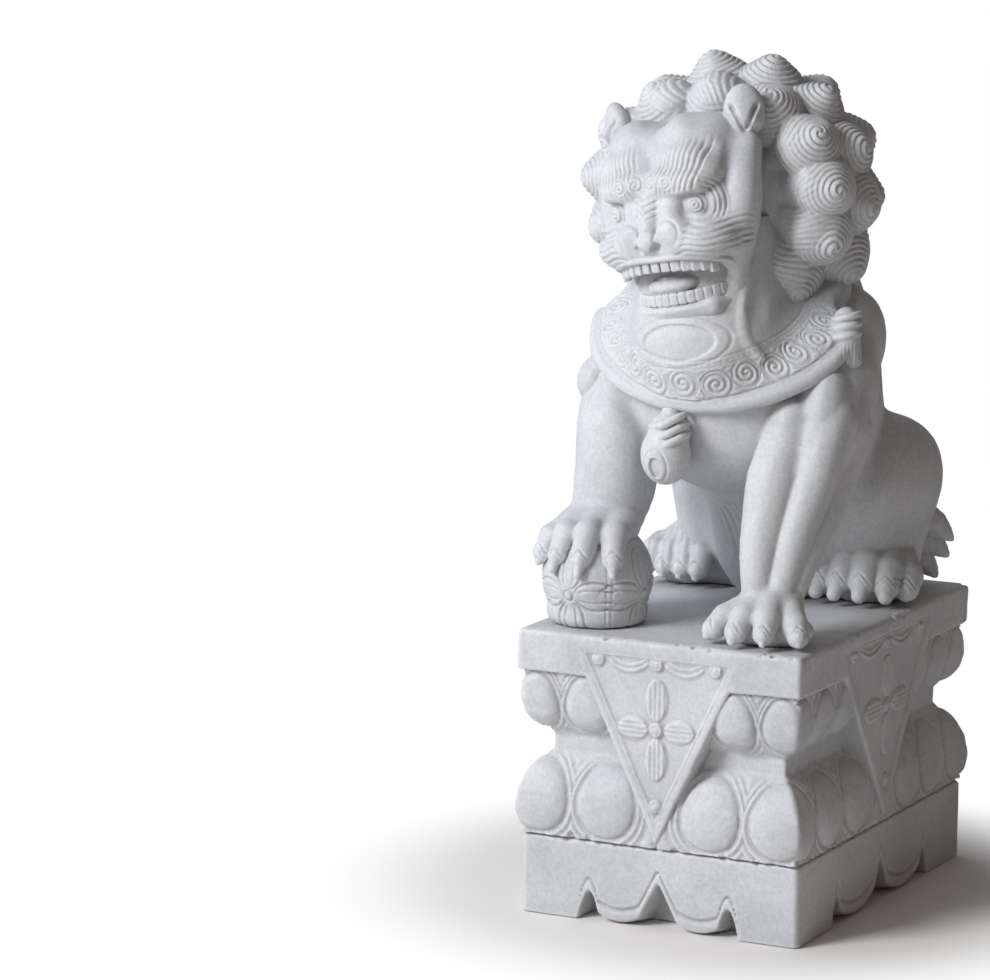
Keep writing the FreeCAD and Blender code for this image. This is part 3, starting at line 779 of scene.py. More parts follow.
def foreleg_on_ball(s):
    """A thick column, its paw spread over the ball."""
    column = [(-108, -76, 540), (-103, -104, 496), (-102, -118, 440), (-104, -134, 402)]
    s.add(cord(column, [46, 45, 42, 35]), 12)
    s.add(egg((-98, -136, 470), (28, 18, 54)), 12)
    s.add(egg((-104, -150, 402), (44, 36, 25), spin("x", 12)), 8)
    roots = [(-128, -150, 404), (-114, -152, 408), (-96, -152, 409), (-80, -150, 406)]
    knuckles = [(-145, -174, 390), (-122, -186, 398), (-96, -191, 402), (-71, -180, 399)]
    tips = [(-153, -194, 364), (-127, -213, 360), (-95, -218, 358), (-61, -204, 358)]
    toes(s, roots, knuckles, tips, 13.5)


def slanting_foreleg(s):
    """Upper arm, then three long strands of muscle down to the wrist, and the paw."""
    for points, radii, k in (
        ([(116, -60, 556), (120, -86, 516), (116, -112, 470), (104, -148, 390)], [44, 44, 36, 18], 10),
        ([(98, -110, 524), (90, -136, 466), (86, -160, 404), (88, -174, 348)], [26, 29, 22, 15], 4),
        ([(136, -100, 530), (127, -124, 470), (116, -150, 404), (110, -170, 348)], [23, 25, 20, 15], 1.5),
        ([(146, -72, 512), (138, -100, 456), (128, -134, 400), (120, -160, 350)], [20, 22, 16, 12], 3),
    ):
        s.add(cord(points, radii), k)
    s.add(egg((100, -166, 338), (32, 22, 26)), 6)
    s.add(egg((100, -174, 318), (50, 30, 20)), 8)
    roots = [(84, -170, 340), (95, -174, 346), (106, -174, 346), (120, -168, 340)]
    knuckles = [(60, -190, 328), (85, -199, 333), (111, -200, 333), (136, -188, 327)]
    tips = [(46, -210, 309), (80, -222, 308), (116, -224, 308), (150, -208, 309)]
    toes(s, roots, knuckles, tips, 13.5)


def hind_paws(s):
    """Near paw with five blunt claws; far paw with combed fur."""
    s.add(egg((98, 100, 328), (50, 52, 34)), 8)
    roots = [(72, 100, 350), (89, 100, 354), (106, 100, 354), (122, 102, 348), (130, 106, 342)]
    knuckles = [(65, 62, 343), (86, 58, 348), (109, 58, 347), (131, 66, 340), (146, 82, 332)]
    tips = [(60, 32, 312), (84, 26, 312), (112, 28, 312), (138, 40, 312), (152, 62, 312)]
    toes(s, roots, knuckles, tips, 16.0, k=1.2, claw=0.5)
    s.add(egg((-112, 98, 332), (42, 46, 38)), 8)
    for x in (-143, -123, -103, -83):
        toe(s, (x, 84, 342), (x, 60, 339), (x - 1, 42, 312), 13.0, 1.5)
    s.carve(*fur_lines(lambda p: p[0] + 0.2 * p[2], (-120, 66, 345), 44, 9.0, 1.2))


def tail(s):
    """Flame-shaped locks stepping down beside the haunch."""
    for lock in (
        [(24, 176, 356), (38, 196, 340), (35, 212, 312)],
        [(62, 176, 352), (76, 196, 336), (80, 212, 320)],
        [(94, 180, 340), (116, 194, 328), (134, 192, 313)],
        [(102, 176, 362), (126, 192, 350), (147, 191, 337)],
        [(112, 172, 384), (132, 186, 372), (152, 189, 356)],
    ):
        s.add(cord(lock, [22, 15, 3]), 3)
    root = [(0, 186, 300), (10, 200, 340), (40, 204, 366), (84, 194, 372), (112, 178, 392)]
    s.add(cord(root, [30, 26, 23, 20, 8]), 6)
    s.carve(*fur_lines(lambda p: p[2] * 0.9 - p[0] * 0.35, (66, 206, 352), 74, 6.5, 1.3))


def body_sculpt():
    s = Sculpt((-175, -240, FOOT - 4), (176, 226, 720))
    for part in (trunk, haunches, shoulders, foreleg_on_ball, slanting_foreleg, hind_paws, tail):
        part(s)
    # hand-worked surface, flat foot and the seat of the ball
    s.carve((0, 0, 500), 420, lambda p: swell(p, 75.0, 31) * 0.9 + swell(p, 24.0, 32) * 0.22)
    flat_foot(s)
    s.cut(Shape(lambda p: length(p - BALL[:, None]) - BALL_R - 0.3, BALL, BALL_R + 2))
    return s


# ------------------------------------------------------------------ chest, collar and bell


def collar_sculpt():
    """Bib of smooth straps under the jaw, and the broad collar with its scrolls and rolled rim."""
    s = Sculpt((-172, -206, 470), (176, 70, 716))
    saucer = egg(COLLAR, (COLLAR_X, COLLAR_Y, 36), COLLAR_TURN)
    s.add(saucer)
    s.add(limb((-4, -86, 690), (0, -96, 600), 74, 88), 20)
    # smooth sheet under the jaw: its rolled edges, and a sunk oval in the middle
    s.add(slab((-4, -112, 634), (58, 44, 50), 26), 12)
    edge = [(52, -132, 678), (55, -141, 654), (55, -149, 630), (60, -152, 608), (74, -142, 590)]
    s.add(cord(edge, [7, 8, 8, 7, 5], 4), 4)
    for side in (-1, 1):
        gully = [(side * 84 - 2, -140, 676), (side * 88 - 2, -150, 646), (side * 96 - 2, -152, 622)]
        s.cut(cord(gully, [20, 24, 20]), 6)

    def sunk_oval(p):
        u = p[0] + 4.0
        v = p[2] - 603.0 - 0.10 * u
        r = np.sqrt((u / 43.0) ** 2 + (v / 20.0) ** 2)
        front = fade(p[1], -140.0, -150.0)
        return (2.6 * fade(r, 1.04, 0.90) + 1.3 * near_line(r - 1.30, 0.07)) * front

    s.carve((5, -180, 603), 66, sunk_oval)
    rim = hoop(COLLAR, COLLAR_X - 2, COLLAR_Y - 2, 8.5, COLLAR_TURN)
    s.add(rim, 0.8)

    def scrollwork(p):
        """Scrolls, leaves and a beaded edge, measured inwards from the rolled rim."""
        q = COLLAR_TURN.T @ (p - COLLAR[:, None])
        rho = np.sqrt((q[0] / COLLAR_X) ** 2 + (q[1] / COLLAR_Y) ** 2)
        angle = np.arctan2(q[0] / COLLAR_X, -q[1] / COLLAR_Y)
        inward = np.sqrt(((0.985 - rho) * 130.0) ** 2 + q[2] ** 2)
        on_top = fade(q[2], -4.0, 4.0) * fade(np.abs(angle), 1.75, 1.6)
        band = fade(inward, 12.0, 14.0) * fade(inward, 46.0, 43.0) * on_top
        step = 0.25
        index = np.round(angle / step)
        flip = np.where(np.mod(index, 2) < 0.5, 1.0, -1.0).astype(F)
        along = (angle - index * step) * 132.0
        up = inward - 28.5
        r = np.sqrt(along**2 + (up - 2.0 * flip) ** 2)
        scroll = spiral(r, np.arctan2(up - 2.0 * flip, along * flip), 6.4) * fade(r, 14.5, 13.0)
        wave = near_line(r - 15.5, 2.0)
        leaf = ridges(along * 0.55 + up * flip, 6.5) * fade(r, 16.5, 18.5) * 0.9
        roll = near_line(inward - 11.5, 2.4) * on_top
        beads = near_line(inward - 50.0, 3.0) * (0.35 + 0.65 * np.abs(np.sin(angle * 60.0)))
        lines = (near_line(inward - 46.5, 1.6) + near_line(inward - 54.5, 1.8)) * on_top
        borders = 2.4 * roll + (1.1 * beads + 1.2 * lines) * on_top
        return (2.2 * scroll + 1.8 * wave + 1.3 * leaf) * band + borders

    s.carve(COLLAR, 170, scrollwork)
    # the collar ends under a rounded pad on one shoulder and a tied tassel on the other
    for side in (-1, 1):
        s.cut(slab((side * 165, 7, 640), (44, 74, 80), 12), 9)
        s.cut(slab((side * 148, 40, 680), (52, 54, 74), 14), 12)
    s.add(egg((-130, -98, 546), (22, 27, 27), spin("y", 10)), 6)
    knot = vec(140, -80, 618)
    s.add(egg(knot, (15, 15, 20)), 3)
    for height in (-9, 1, 10):
        s.add(hoop(knot + vec(1, 0, height), 13.5, 13.5, 3.4, spin("y", -14)), 1.2)
    s.add(limb(knot + vec(2, 0, -12), knot + vec(6, 2, -34), 14, 11), 2)
    s.carve(*fur_lines(lambda p: p[0] + p[1] * 0.6, knot + vec(8, -4, -34), 24, 4.5, 1.0))
    s.carve((0, -60, 600), 260, lambda p: swell(p, 50.0, 41) * 0.5)
    return s


def bell_sculpt():
    """Bell with a teardrop slot under a crumpled knot."""
    c = vec(-24, -158, 484)
    s = Sculpt(c - 46, c + vec(46, 46, 66))
    s.add(egg(c, (26, 25, 31)))
    s.add(egg(c + vec(3, 2, 24), (22, 20, 20)), 5)
    s.add(egg(c + vec(4, 6, 42), (11, 12, 11)), 4)
    for height, sway in ((38, 3), (30, 8), (22, 12)):
        wrap = [(-14, -9, height - 6), (4, -19, height - 3), (18, -12, height + 5), (22, 2, height + 8)]
        fold = [tuple(c + vec(a + 0.3 * sway, b, h - 0.5 * sway)) for a, b, h in wrap]
        s.add(cord(fold, [2.5, 4.0, 4.0, 2.5], 3), 1.5)

    def slot(p):
        q = p - c[:, None]
        u, z = q[0] + 2.0, q[2] + 10.0
        wide = 6.5 * np.sqrt(np.clip((z + 12.0) * (10.0 - z), 0.0, None)) / 11.0
        opening = fade(np.abs(u) - wide, 0.8, -1.2) * fade(np.abs(z + 1.0), 11.5, 9.5)
        loop = near_line(np.sqrt((u / 13.0) ** 2 + ((z - 1.0) / 17.0) ** 2) - 1.0, 0.12)
        front = fade(q[1], -8.0, -14.0)
        return (3.5 * opening + 1.3 * loop) * front

    s.carve(c, 40, slot)
    return s


# ------------------------------------------------------------------ mane


def curl(place, way, aim, size, pitch, handed):
    """Snail curl: a rounded lump of hair whose strands wind in a spiral round a crown."""
    place, way, aim = vec(*place), vec(*way), vec(*aim)
    side = np.cross(way, vec(0, 0, 1))
    side = side / max(float(np.linalg.norm(side)), 1e-6)
    up = np.cross(side, way)
    turn = np.stack([side, up, way], 1).astype(F)
    middle = place + way * size * 0.15
    lump = egg(middle, (size, size * 0.96, size * 0.84), turn)
    crown = middle + aim * size * 0.86
    nub = egg(crown - aim * size * 0.30, (size * 0.46, size * 0.46, size * 0.46))
    aside = np.cross(aim, vec(0, 0, 1))
    aside = aside / max(float(np.linalg.norm(aside)), 1e-6)
    crown_frame = np.stack([aside, np.cross(aside, aim), aim]).astype(F)

    def fn(p):
        d = blend(lump.fn(p), nub.fn(p), size * 0.25)
        q = crown_frame @ (p - crown[:, None])
        s = np.sqrt(q[0] ** 2 + q[1] ** 2 + 0.9 * q[2] ** 2)
        angle = np.arctan2(q[1], q[0]) * handed
        strand = ridges(s + angle * (pitch / math.pi), pitch)
        return d + 2.1 * strand * fade(s, 1.5, 4.0) - 0.7

    return Shape(fn, middle, size * 1.35)


MANE = vec(2.0, -26.0, 750.0)
HAIR = 5.0  # spacing of the hair grooves in a curl
MANE_RINGS = (  # depth, half width, half height, curls, reach from the top, size, lean to the front
    (-72.0, 116.0, 84.0, 11, 142.0, 35.0, 0.95),
    (-30.0, 112.0, 99.0, 12, 150.0, 35.0, 0.30),
    (14.0, 96.0, 88.0, 11, 156.0, 35.0, -0.30),
    (46.0, 66.0, 66.0, 7, 150.0, 34.0, -0.90),
    (62.0, 26.0, 30.0, 4, 150.0, 32.0, -2.2),
)


def mane_sculpt():
    """Rings of overlapping curls round the face and over the back of the neck."""
    s = Sculpt((-182, -160, 596), (186, 150, 906))
    s.add(egg(MANE, (124, 74, 112)))
    s.add(limb(MANE + vec(0, 16, -20), MANE + vec(0, 26, -118), 100, 92), 12)

    def flow(p):
        u, z = p[0] - MANE[0], p[2] - MANE[2]
        r = np.sqrt(u * u + z * z)
        bearing = np.arctan2(u, z)
        strands = ridges(bearing * 96.0 + 9.0 * np.sin(r * 0.06), 6.0)
        return 1.5 * strands * fade(r, 78.0, 96.0) * fade(p[1], -20.0, -40.0)

    for i in range(11):
        bearing = math.radians(-136.0 + 27.2 * i)
        out = vec(math.sin(bearing), 0.0, math.cos(bearing))
        inner = vec(MANE[0] - 8.0 + 76.0 * out[0], -76.0, MANE[2] + 62.0 * out[2])
        s.add(limb(inner, inner + out * 34.0 + vec(0, -2, -4), 17, 30), 5)
    s.carve(MANE, 190, flow)
    rng = random.Random(7)
    for ring, (y, half_x, half_z, count, reach, size, lean) in enumerate(MANE_RINGS):
        for i in range(count):
            share = i / (count - 1)
            bearing = math.radians(-reach + 2.0 * reach * share)
            drop = max(0.0, -math.cos(bearing))
            out = vec(math.sin(bearing), 0.0, math.cos(bearing))
            centre_x = MANE[0] - (10.0 if ring == 0 else 0.0)
            x = centre_x + half_x * out[0] * (1.0 + 0.06 * drop)
            z = MANE[2] + half_z * out[2] * (1.0 + 0.30 * drop)
            way = out + vec(0.0, -lean, 0.0)
            way = way / np.linalg.norm(way)
            aim = way + out * 0.35 + vec(*(rng.uniform(-0.15, 0.15) for _ in range(3)))
            aim = aim / np.linalg.norm(aim)
            handed = 1 if (i + ring) % 2 else -1
            lump = curl((x, y + 16.0 * drop, z), way, aim, size * rng.uniform(0.93, 1.07), HAIR, handed)
            s.add(lump, 3.0)
    s.carve(MANE, 200, lambda p: swell(p, 40.0, 51) * 0.5)
    return s


# ------------------------------------------------------------------ head


def skull(s):
    s.add(egg((0, 4, -2), (68, 70, 88)))
    # domed forehead in two lobes with a hollow between
    s.add(egg((32, -34, 46), (40, 34, 42)), 12)
    s.add(egg((30, -46, 62), (20, 18, 24)), 8)
    s.add(egg((0, -42, 46), (28, 25, 28)), 14)
    s.add(egg((50, -20, 50), (27, 28, 33)), 12)
    # heavy brow shelf, ending beside the ear
    shelf = [(0, -75, 26), (24, -79, 25), (46, -74, 23), (60, -60, 28), (64, -44, 46)]
    s.add(cord(shelf, [14, 15, 15, 13, 10]), 6)
    s.add(egg((32, -60, 40), (34, 22, 24)), 8)
    # cheeks and the smooth column from the ear to the jaw
    s.add(egg((50, -46, -34), (32, 34, 30)), 12)
    s.cut(cord([(106, 24, 60), (106, 12, 10), (100, 6, -40), (86, 2, -84)], [22, 24, 26, 24]), 10)
    column = [(80, -12, 46), (78, -24, 24), (76, -32, 2), (70, -36, -22), (62, -40, -46), (54, -40, -84)]
    s.add(cord(column, [15, 19, 22, 22, 21, 14], 5), 13)


EYE = vec(45, -66, 0)
GAZE = spin("z", 24)


def eyes(s):
    """Sockets, eyes turned a little outwards, and lids."""
    s.cut(egg((50, -84, 0), (19, 17, 13)), 4)
    s.add(egg((20, -77, 2), (16, 14, 13)), 6)
    s.add(egg(EYE, (15, 15, 14.5)), 0.6)
    s.add(hoop(EYE + GAZE @ vec(1, -5, 0), 17.5, 13.5, 3.2, GAZE @ spin("x", 90)), 1.5)
    s.add(egg((62, -54, -1), (13, 14, 21)), 5)

    def iris(p):
        q = GAZE.T @ (p - EYE[:, None])
        r = np.sqrt(q[0] ** 2 + q[2] ** 2)
        front = fade(q[1], -5.0, -9.0)
        rings = 1.5 * near_line(r - 8.8, 1.5) + 1.3 * near_line(r - 4.6, 1.3) + 1.5 * fade(r, 2.4, 1.0)
        folds = 1.3 * ridges(r - 1.0, 5.0) * fade(r, 19.0, 20.5) * fade(r, 33.0, 30.0)
        return rings * front * fade(r, 13.0, 12.0) + folds * fade(q[0], 8.0, 13.0)

    s.carve(EYE, 34, iris)


NOSE_WING = vec(24, -89, -25)


def round_wing(p):
    """Distance from the middle of a nose wing, seen from the front."""
    return np.sqrt((p[0] - NOSE_WING[0]) ** 2 + (p[2] - NOSE_WING[2] - 1.0) ** 2)


def nose(s):
    """Bridge with wrinkles, broad tip, and large round wings over dark nostrils."""
    s.add(cord([(0, -72, 16), (0, -82, 2), (0, -93, -16)], [16, 15, 12]), 6)
    s.add(egg((19, -82, -10), (16, 12, 15)), 5)
    s.add(egg(NOSE_WING, (20, 15, 19)), 2.5)
    s.add(egg((0, -97, -30), (16, 13, 12)), 3)
    s.cut(egg((12, -107, -38), (6.5, 12, 6.5), spin("y", -18)), 1.5)

    def grooves(p):
        loop = near_line(round_wing(p) - 14.0, 1.9) * fade(p[1], -78.0, -90.0) * fade(p[2], -38.0, -33.0)
        bridge = near_line(np.mod(p[2] - 0.35 * p[0] + 40.0, 7.0) - 3.5, 1.5) * fade(p[0], 16.0, 10.0)
        bridge = bridge * fade(p[2], -10.0, -4.0) * fade(p[2], 18.0, 12.0) * fade(p[1], -74.0, -80.0)
        return 1.6 * loop + 1.6 * bridge

    s.carve((14, -90, -8), 40, grooves)


def muzzle(s):
    """Muzzle with wavy whisker grooves."""
    s.add(egg((40, -67, -36), (42, 34, 24)), 8)
    s.add(egg((26, -82, -41), (26, 17, 13)), 6)
    s.add(egg((0, -84, -40), (14, 16, 12)), 6)

    def whiskers(p):
        bend = p[2] + 0.0045 * (p[0] - 58.0) ** 2 + 3.0 * np.sin(p[0] * 0.12)
        on = fade(p[0], 20.0, 28.0) * fade(p[2], -52.0, -46.0) * fade(p[2], -12.0, -20.0)
        on = on * fade(p[1], -36.0, -44.0) * fade(round_wing(p), 18.0, 22.0)
        return 1.7 * ridges(bend, 6.4) * on

    s.carve((46, -70, -36), 42, whiskers)


def upper_mouth(s):
    """Deep hollow, then the lip and the upper teeth set in it."""
    s.cut(egg((0, -72, -73), (62, 46, 19)), 3)
    s.cut(slab((0, -96, -72), (46, 30, 14), 10), 3)
    lip = [(0, -99, -48), (28, -97, -48), (52, -87, -52), (65, -66, -59), (67, -50, -67)]
    s.add(cord(lip, [3.2, 3.2, 3.2, 3.4, 3.0]), 1.0)
    s.add(cord([(a, b + 2, c + 6) for a, b, c in lip], [2.4, 2.4, 2.6, 2.8, 2.8]), 1.5)
    for i in range(7):
        a = math.radians(11.0 * i)
        x, y = 60 * math.sin(a), -48 - 46 * math.cos(a) ** 0.7
        z = -55.5 - 8.0 * (x / 62.0) ** 2
        tall = 6.2 if i < 6 else 8.5
        s.add(slab((x, y, z), (4.9, 4.0, tall), 1.6, spin("z", math.degrees(a))), 0.4)


def jaw(s):
    """Squared jaw with small teeth on its edge, and the tongue."""
    s.add(slab((0, -40, -104), (50, 36, 9), 8), 8)
    s.add(egg((0, -40, -103), (60, 50, 11)), 8)
    s.add(egg((0, -60, -108), (46, 26, 12)), 8)
    s.add(egg((57, -28, -88), (9, 22, 17)), 8)
    s.cut(egg((0, -60, -80), (43, 34, 13)), 3)
    for i in range(9):
        a = math.radians(9.4 * i)
        x, y = 54 * math.sin(a), -36 - 50 * math.cos(a)
        z = -92.0 + 2.0 * (x / 47.0) ** 2
        s.add(slab((x, y, z), (4.3, 4.0, 6.2), 1.8, spin("z", math.degrees(a))), 0.5)
    s.add(egg((0, -62, -79), (31, 30, 12)), 1.0)

    def tongue_rim(p):
        r = np.sqrt((p[0] / 31.0) ** 2 + ((p[1] + 62.0) / 30.0) ** 2)
        lines = 1.6 * near_line(r - 0.72, 0.07) + 1.0 * near_line(p[0], 2.0) * fade(r, 0.7, 0.5)
        return lines * fade(p[2], -80.0, -76.0)

    s.carve((0, -58, -76), 34, tongue_rim)


def mouth_corner(s):
    """Wrinkled knob at the corner of the mouth."""
    knob = vec(68, -48, -40)
    s.add(egg(knob, (13, 15, 14)), 3)

    def wrinkles(p):
        on = fade(p[0], 62.0, 68.0) * fade(length(p - knob[:, None]), 19.0, 14.0)
        return 1.6 * ridges(p[2] + 0.4 * p[1], 6.5) * on

    s.carve(knob, 20, wrinkles)


def brows(s):
    """Fan of hair above the brow, and small spirals along its lower edge."""

    def hair(p):
        fan = p[0] - 0.42 * (p[2] - 20.0) + 0.004 * (p[2] - 20.0) ** 2
        on = fade(p[2], 14.0, 20.0) * fade(p[2], 72.0, 44.0) * fade(p[0], 10.0, 16.0)
        on = on * fade(p[1], -30.0, -44.0) * fade(p[0] - 0.3 * (p[2] - 20.0), 62.0, 56.0)
        total = 1.7 * ridges(fan, 5.6) * on
        for u, z in ((9.0, 28.0), (29.0, 27.0)):
            r = np.sqrt((p[0] - u) ** 2 + (p[2] - z) ** 2)
            mark = fade(r, 9.0, 7.8) * fade(p[1], -70.0, -78.0)
            total = total * (1.0 - mark) + 1.7 * spiral(r, np.arctan2(p[2] - z, p[0] - u), 4.6) * mark
        return total

    s.carve((36, -60, 40), 62, hair)


def ears(s):
    """Leaf-shaped ears with a forked hollow."""
    turn = spin("z", 34) @ spin("y", 8)
    s.add(egg((79, -4, 79), (21, 13, 28), turn), 2)
    s.add(limb((78, -6, 72), (70, -16, 51), 19, 5), 4)
    s.add(limb((78, 6, 74), (74, 40, 60), 14, 20), 4)
    root = vec(79, -4, 80)

    def hollow(p):
        q = turn.T @ (p - root[:, None])
        arm = np.abs(np.abs(q[0]) - 0.50 * (q[2] + 20.0))
        fork = near_line(arm, 4.0) * fade(q[2], -24.0, -16.0) * fade(q[2], 10.0, 2.0)
        return 5.0 * fork * fade(q[1], 0.0, -7.0)

    s.carve(root, 38, hollow)


def head_sculpt():
    """Head in its own frame: x across the face (folded), -y to the front, z up, origin mid-skull."""
    s = Sculpt((-112, -124, -130), (112, 70, 118), fold=True)
    for part in (skull, eyes, nose, muzzle, upper_mouth, jaw, mouth_corner, brows, ears):
        part(s)
    s.carve((0, -30, 0), 170, lambda p: swell(p, 46.0, 61) * 0.4)
    return s


# ------------------------------------------------------------------ ball, bedding and dowels


def flower(p):
    """Four-petal flower engraved on the side of the ball that faces -y, p from the ball's middle."""
    u, z = p[0], p[2] + 13.0
    front = fade(p[1], -26.0, -38.0)
    r = np.sqrt(u * u + z * z)
    total = 2.0 * near_line(r - 5.5, 1.5) - 1.2 * fade(r, 4.5, 3.0)
    for along, across in ((u, z), (z, u)):
        t = (np.abs(along) - 7.0) / 41.0
        wide = 15.0 * np.sqrt(np.clip(t * (1.0 - t) * 4.0, 0.0, 1.0))
        edge = near_line(np.abs(across) - wide, 2.0) * fade(t, -0.02, 0.05) * fade(t, 1.06, 0.98)
        vein = near_line(np.abs(across) - wide * 0.45, 1.5) * fade(t, 0.05, 0.15) * fade(t, 0.95, 0.8)
        total = total + 2.6 * edge + 1.8 * vein
    return total * front


def ball_sculpt():
    """Flat-footed ball with a flower engraved on each of its four sides, and seams between them."""
    s = Sculpt(BALL - 64, BALL + vec(64, 64, 64))
    s.add(Shape(lambda p: length(p - BALL[:, None]) - BALL_R, BALL, BALL_R))
    s.add(hoop((BALL[0], BALL[1], FOOT + 8.0), 42, 42, 9.0), 14)

    def engraving(p):
        q = p - BALL[:, None]
        total = sum(flower(spin("z", heading).T @ q) for heading in (-6.0, 84.0, 174.0, 264.0))
        bearing = np.degrees(np.arctan2(q[0], -q[1]))
        seams = near_line(np.abs(np.mod(bearing + 51.0, 90.0) - 45.0) - 42.0, 1.2)
        return total + 0.9 * seams * fade(q[2], 30.0, 20.0)

    s.carve(BALL, BALL_R + 4, engraving)
    flat_foot(s)
    s.carve(BALL, BALL_R + 8, lambda p: swell(p, 30.0, 71) * 0.35)
    return s


def bed_sculpt(node, corner):
    """Thin pad of adhesive with a slightly squeezed, uneven edge."""
    low, high = node_box(node)
    centre = ((low + high) / 2).astype(F)
    half = ((high - low) / 2).astype(F)
    s = Sculpt(low - 5, high + 5)

    def fn(p):
        q = np.abs(p - centre[:, None]) - (half - vec(corner, corner, 0))[:, None]
        flat = np.sqrt(np.maximum(q[0], 0) ** 2 + np.maximum(q[1], 0) ** 2) - corner
        flat = flat + np.minimum(np.maximum(q[0], q[1]), 0)
        flat = flat + 0.8 * np.sin(p[0] * 0.31) * np.sin(p[1] * 0.27) + 0.8
        return np.maximum(flat, q[2])

    s.add(Shape(fn, centre, float(np.linalg.norm(half)) + 4))
    return s


RIB_PITCH, RIB_HEIGHT = 7.0, 0.6


def ribbed_dowel(node, material):
    """Steel pin rolled with a shallow helical rib."""
    low, high = node_box(node)
    centre = (low + high) / 2
    radius = (high[0] - low[0]) / 2
    rings, around = int((high[2] - low[2]) * 1.2), 40
    z = np.linspace(low[2], high[2], rings)[:, None]
    a = np.linspace(0, TURN, around, endpoint=False)
    rib = 0.5 * (1.0 + np.cos(TURN * z / RIB_PITCH + a)) ** 3 / 8.0 * RIB_HEIGHT
    taper = np.minimum(1.0, 0.86 + 0.14 * np.minimum(z - low[2], high[2] - z) / 1.5)
    r = (radius - RIB_HEIGHT + rib) * taper
    x, y = centre[0] + r * np.cos(a), centre[1] + r * np.sin(a)
    verts = np.stack([x, y, np.repeat(z, around, 1)], -1).reshape(-1, 3)
    i, j = np.meshgrid(np.arange(rings - 1) * around, np.arange(around), indexing="ij")
    k = (j + 1) % around
    faces = np.stack([i + j, i + k, i + around + k, i + around + j], -1).reshape(-1, 4).tolist()
    faces.append(list(range(around))[::-1])
    faces.append([(rings - 1) * around + n for n in range(around)])
    mesh = bpy.data.meshes.new(node + "_bar")
    mesh.from_pydata((verts * MM).tolist(), [], faces)
    for polygon in mesh.polygons:
        polygon.use_smooth = len(polygon.vertices) == 4
    mesh.materials.append(material)
    stand_for(placed(node + "_bar", mesh), node)


# ------------------------------------------------------------------ build everything

marble = marble_material()
bedding = plain_material("bedding", (0.42, 0.41, 0.38), (0.62, 0.61, 0.58), 0.0, 0.8, 300.0)
steel = plain_material("dowel_steel", (0.38, 0.37, 0.36), (0.62, 0.62, 0.63), 0.9, 0.4, 160.0)

stone_block(
    "plinth_course_marble", plinth_field, PLINTH_HALF_X + 3, PLINTH_HALF_Y + 3, -4, PLINTH_TOP + 4, 1.7,
    marble, "plinth_course",
)
stone_block(
    "lotus_pedestal_marble", lotus_field, HALF_X + 9, HALF_Y + 9, LOTUS_BASE - 4, SLAB_TOP + 4, 1.4,
    marble, "lotus_pedestal",
)
sculpted("lion_body", body_sculpt(), 1.6, marble, "lion_figure")
sculpted("lion_collar", collar_sculpt(), 1.2, marble, "lion_figure")
sculpted("lion_bell", bell_sculpt(), 1.0, marble, "lion_figure")
sculpted("lion_mane", mane_sculpt(), 1.2, marble, "lion_figure")
sculpted("lion_head", head_sculpt(), 1.0, marble, "lion_figure", HEAD_TURN, HEAD)
sculpted("brocade_ball_marble", ball_sculpt(), 1.1, marble, "brocade_ball")
sculpted("plinth_bed_layer", bed_sculpt("plinth_bed", 3.0), 1.0, bedding, "plinth_bed")
for bed in ("figure_bed_haunches", "figure_bed_forepaw", "ball_bed"):
    sculpted(bed + "_layer", bed_sculpt(bed, 12.0), 0.7, bedding, bed)
for place in ("plinth_dowel_front", "plinth_dowel_back", "figure_dowel_left", "figure_dowel_right"):
    ribbed_dowel(place, steel)
ribbed_dowel("ball_dowel", steel)

# ------------------------------------------------------------------ floor, light and camera


FLOOR_REACH = 14.0
FLOOR_DROP = -0.0005
FLOOR_DARK, FLOOR_LIGHT = (0.89, 0.87, 0.85), (0.92, 0.90, 0.88)
PAPER_FROM, PAPER_TO = 0.25, 0.47  # the floor turns into white paper over this reach


def floor_piece():
    """Pale floor that reads as white paper away from the statue."""
    mat = bpy.data.materials.new("floor")
    g = Graph(mat)
    mottle = g.add("TexNoise", {"Scale": 3.0}).outputs["Fac"]
    colour = g.ramp(mottle, [(0.0, FLOOR_DARK), (1.0, FLOOR_LIGHT)])
    body = g.add("BsdfPrincipled", {"Base Color": colour, "Roughness": 0.9, "Specular IOR Level": 0.1})
    place = g.add("NewGeometry").outputs["Position"]
    reach = g.add("VectorMath", {0: place}, operation="LENGTH").outputs["Value"]
    away = g.spread(reach, PAPER_FROM, PAPER_TO, ease="SMOOTHSTEP")
    share = g.maths("MULTIPLY", away, g.add("LightPath").outputs["Is Camera Ray"])
    paper = g.add("Emission").outputs["Emission"]
    g.surface(g.add("MixShader", {"Fac": share, 1: body.outputs["BSDF"], 2: paper}).outputs["Shader"])
    mesh = bpy.data.meshes.new("floor")
    signs = [(-1, -1), (1, -1), (1, 1), (-1, 1)]
    corners = [(x * FLOOR_REACH, y * FLOOR_REACH, FLOOR_DROP) for x, y in signs]
    mesh.from_pydata(corners, [], [(0, 1, 2, 3)])
    mesh.materials.append(mat)
    placed("floor", mesh)


def light(name, place, target, size, power, colour):
    data = bpy.data.lights.new(name, "AREA")
    data.shape = "SQUARE"
    data.size = size
    data.energy = power
    data.color = colour
    obj = placed(name, data)
    obj.location = place
    obj.rotation_euler = (Vector(target) - Vector(place)).to_track_quat("-Z", "Y").to_euler()


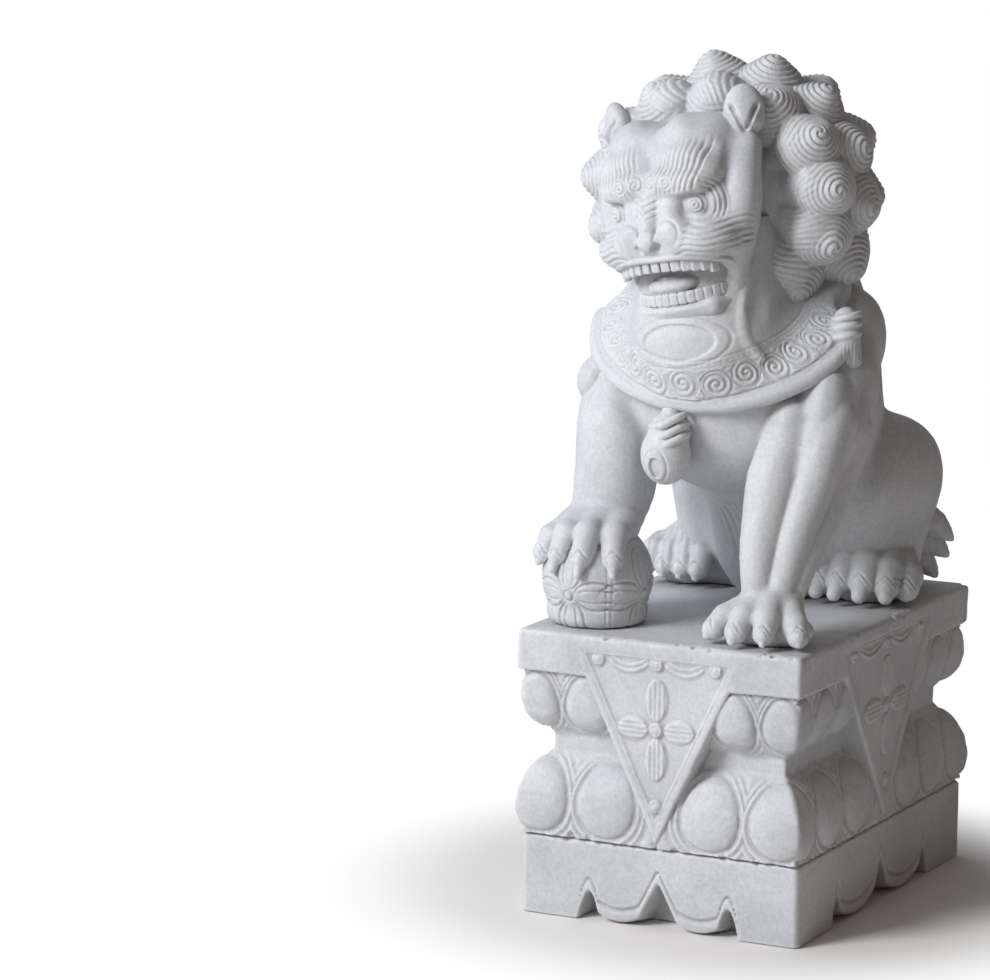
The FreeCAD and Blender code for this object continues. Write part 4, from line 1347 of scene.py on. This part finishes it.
COOL_SIDE, WARM_SIDE = (0.43, 0.452, 0.486), (0.100, 0.074, 0.055)


def world_light():
    """White seen by the camera; as a light, cool from the left and dim and warm from the right."""
    world = bpy.data.worlds.new("studio")
    bpy.context.scene.world = world
    g = Graph(world)
    way = g.add("TexCoord").outputs["Generated"]
    across = g.add("SeparateXYZ", {0: way}).outputs["X"]
    sides = g.ramp(g.spread(across, -0.6, 0.55), [(0.0, COOL_SIDE), (1.0, WARM_SIDE)])
    lit = g.add("Background", {0: sides, 1: 0.9}).outputs[0]
    seen = g.add("Background", {0: (1.0, 1.0, 1.0, 1.0), 1: 1.0}).outputs[0]
    sight = g.add("LightPath").outputs["Is Camera Ray"]
    g.add("OutputWorld", {"Surface": g.add("MixShader", {0: sight, 1: lit, 2: seen}).outputs[0]})


YAW, PITCH, ROLL = math.radians(27.7), math.radians(9.9), math.radians(0.22)
STAND = (1.932, -4.259, 1.239)
LENS = 163.64


def photo_camera():
    """Long lens, standing to the right of the statue and a little above it."""
    data = bpy.data.cameras.new("camera")
    data.sensor_width = 36.0
    data.lens = LENS
    back = Vector((math.sin(YAW) * math.cos(PITCH), -math.cos(YAW) * math.cos(PITCH), math.sin(PITCH)))
    level = Vector((math.cos(YAW), math.sin(YAW), 0.0))
    upright = back.cross(level)
    right = level * math.cos(ROLL) + upright * math.sin(ROLL)
    up = upright * math.cos(ROLL) - level * math.sin(ROLL)
    camera = placed("camera", data)
    camera.matrix_world = Matrix(
        (
            (right.x, up.x, back.x, STAND[0]),
            (right.y, up.y, back.y, STAND[1]),
            (right.z, up.z, back.z, STAND[2]),
            (0, 0, 0, 1),
        )
    )
    bpy.context.scene.camera = camera


floor_piece()
world_light()
light("key", (-1.5, -2.8, 2.3), (0.0, 0.0, 0.45), 1.3, 100.0, (0.985, 0.99, 1.0))
light("fill", (-2.6, -0.2, 1.2), (0.0, 0.0, 0.5), 2.2, 6.0, (0.95, 0.975, 1.0))
photo_camera()
bpy.context.scene.view_settings.view_transform = "Standard"
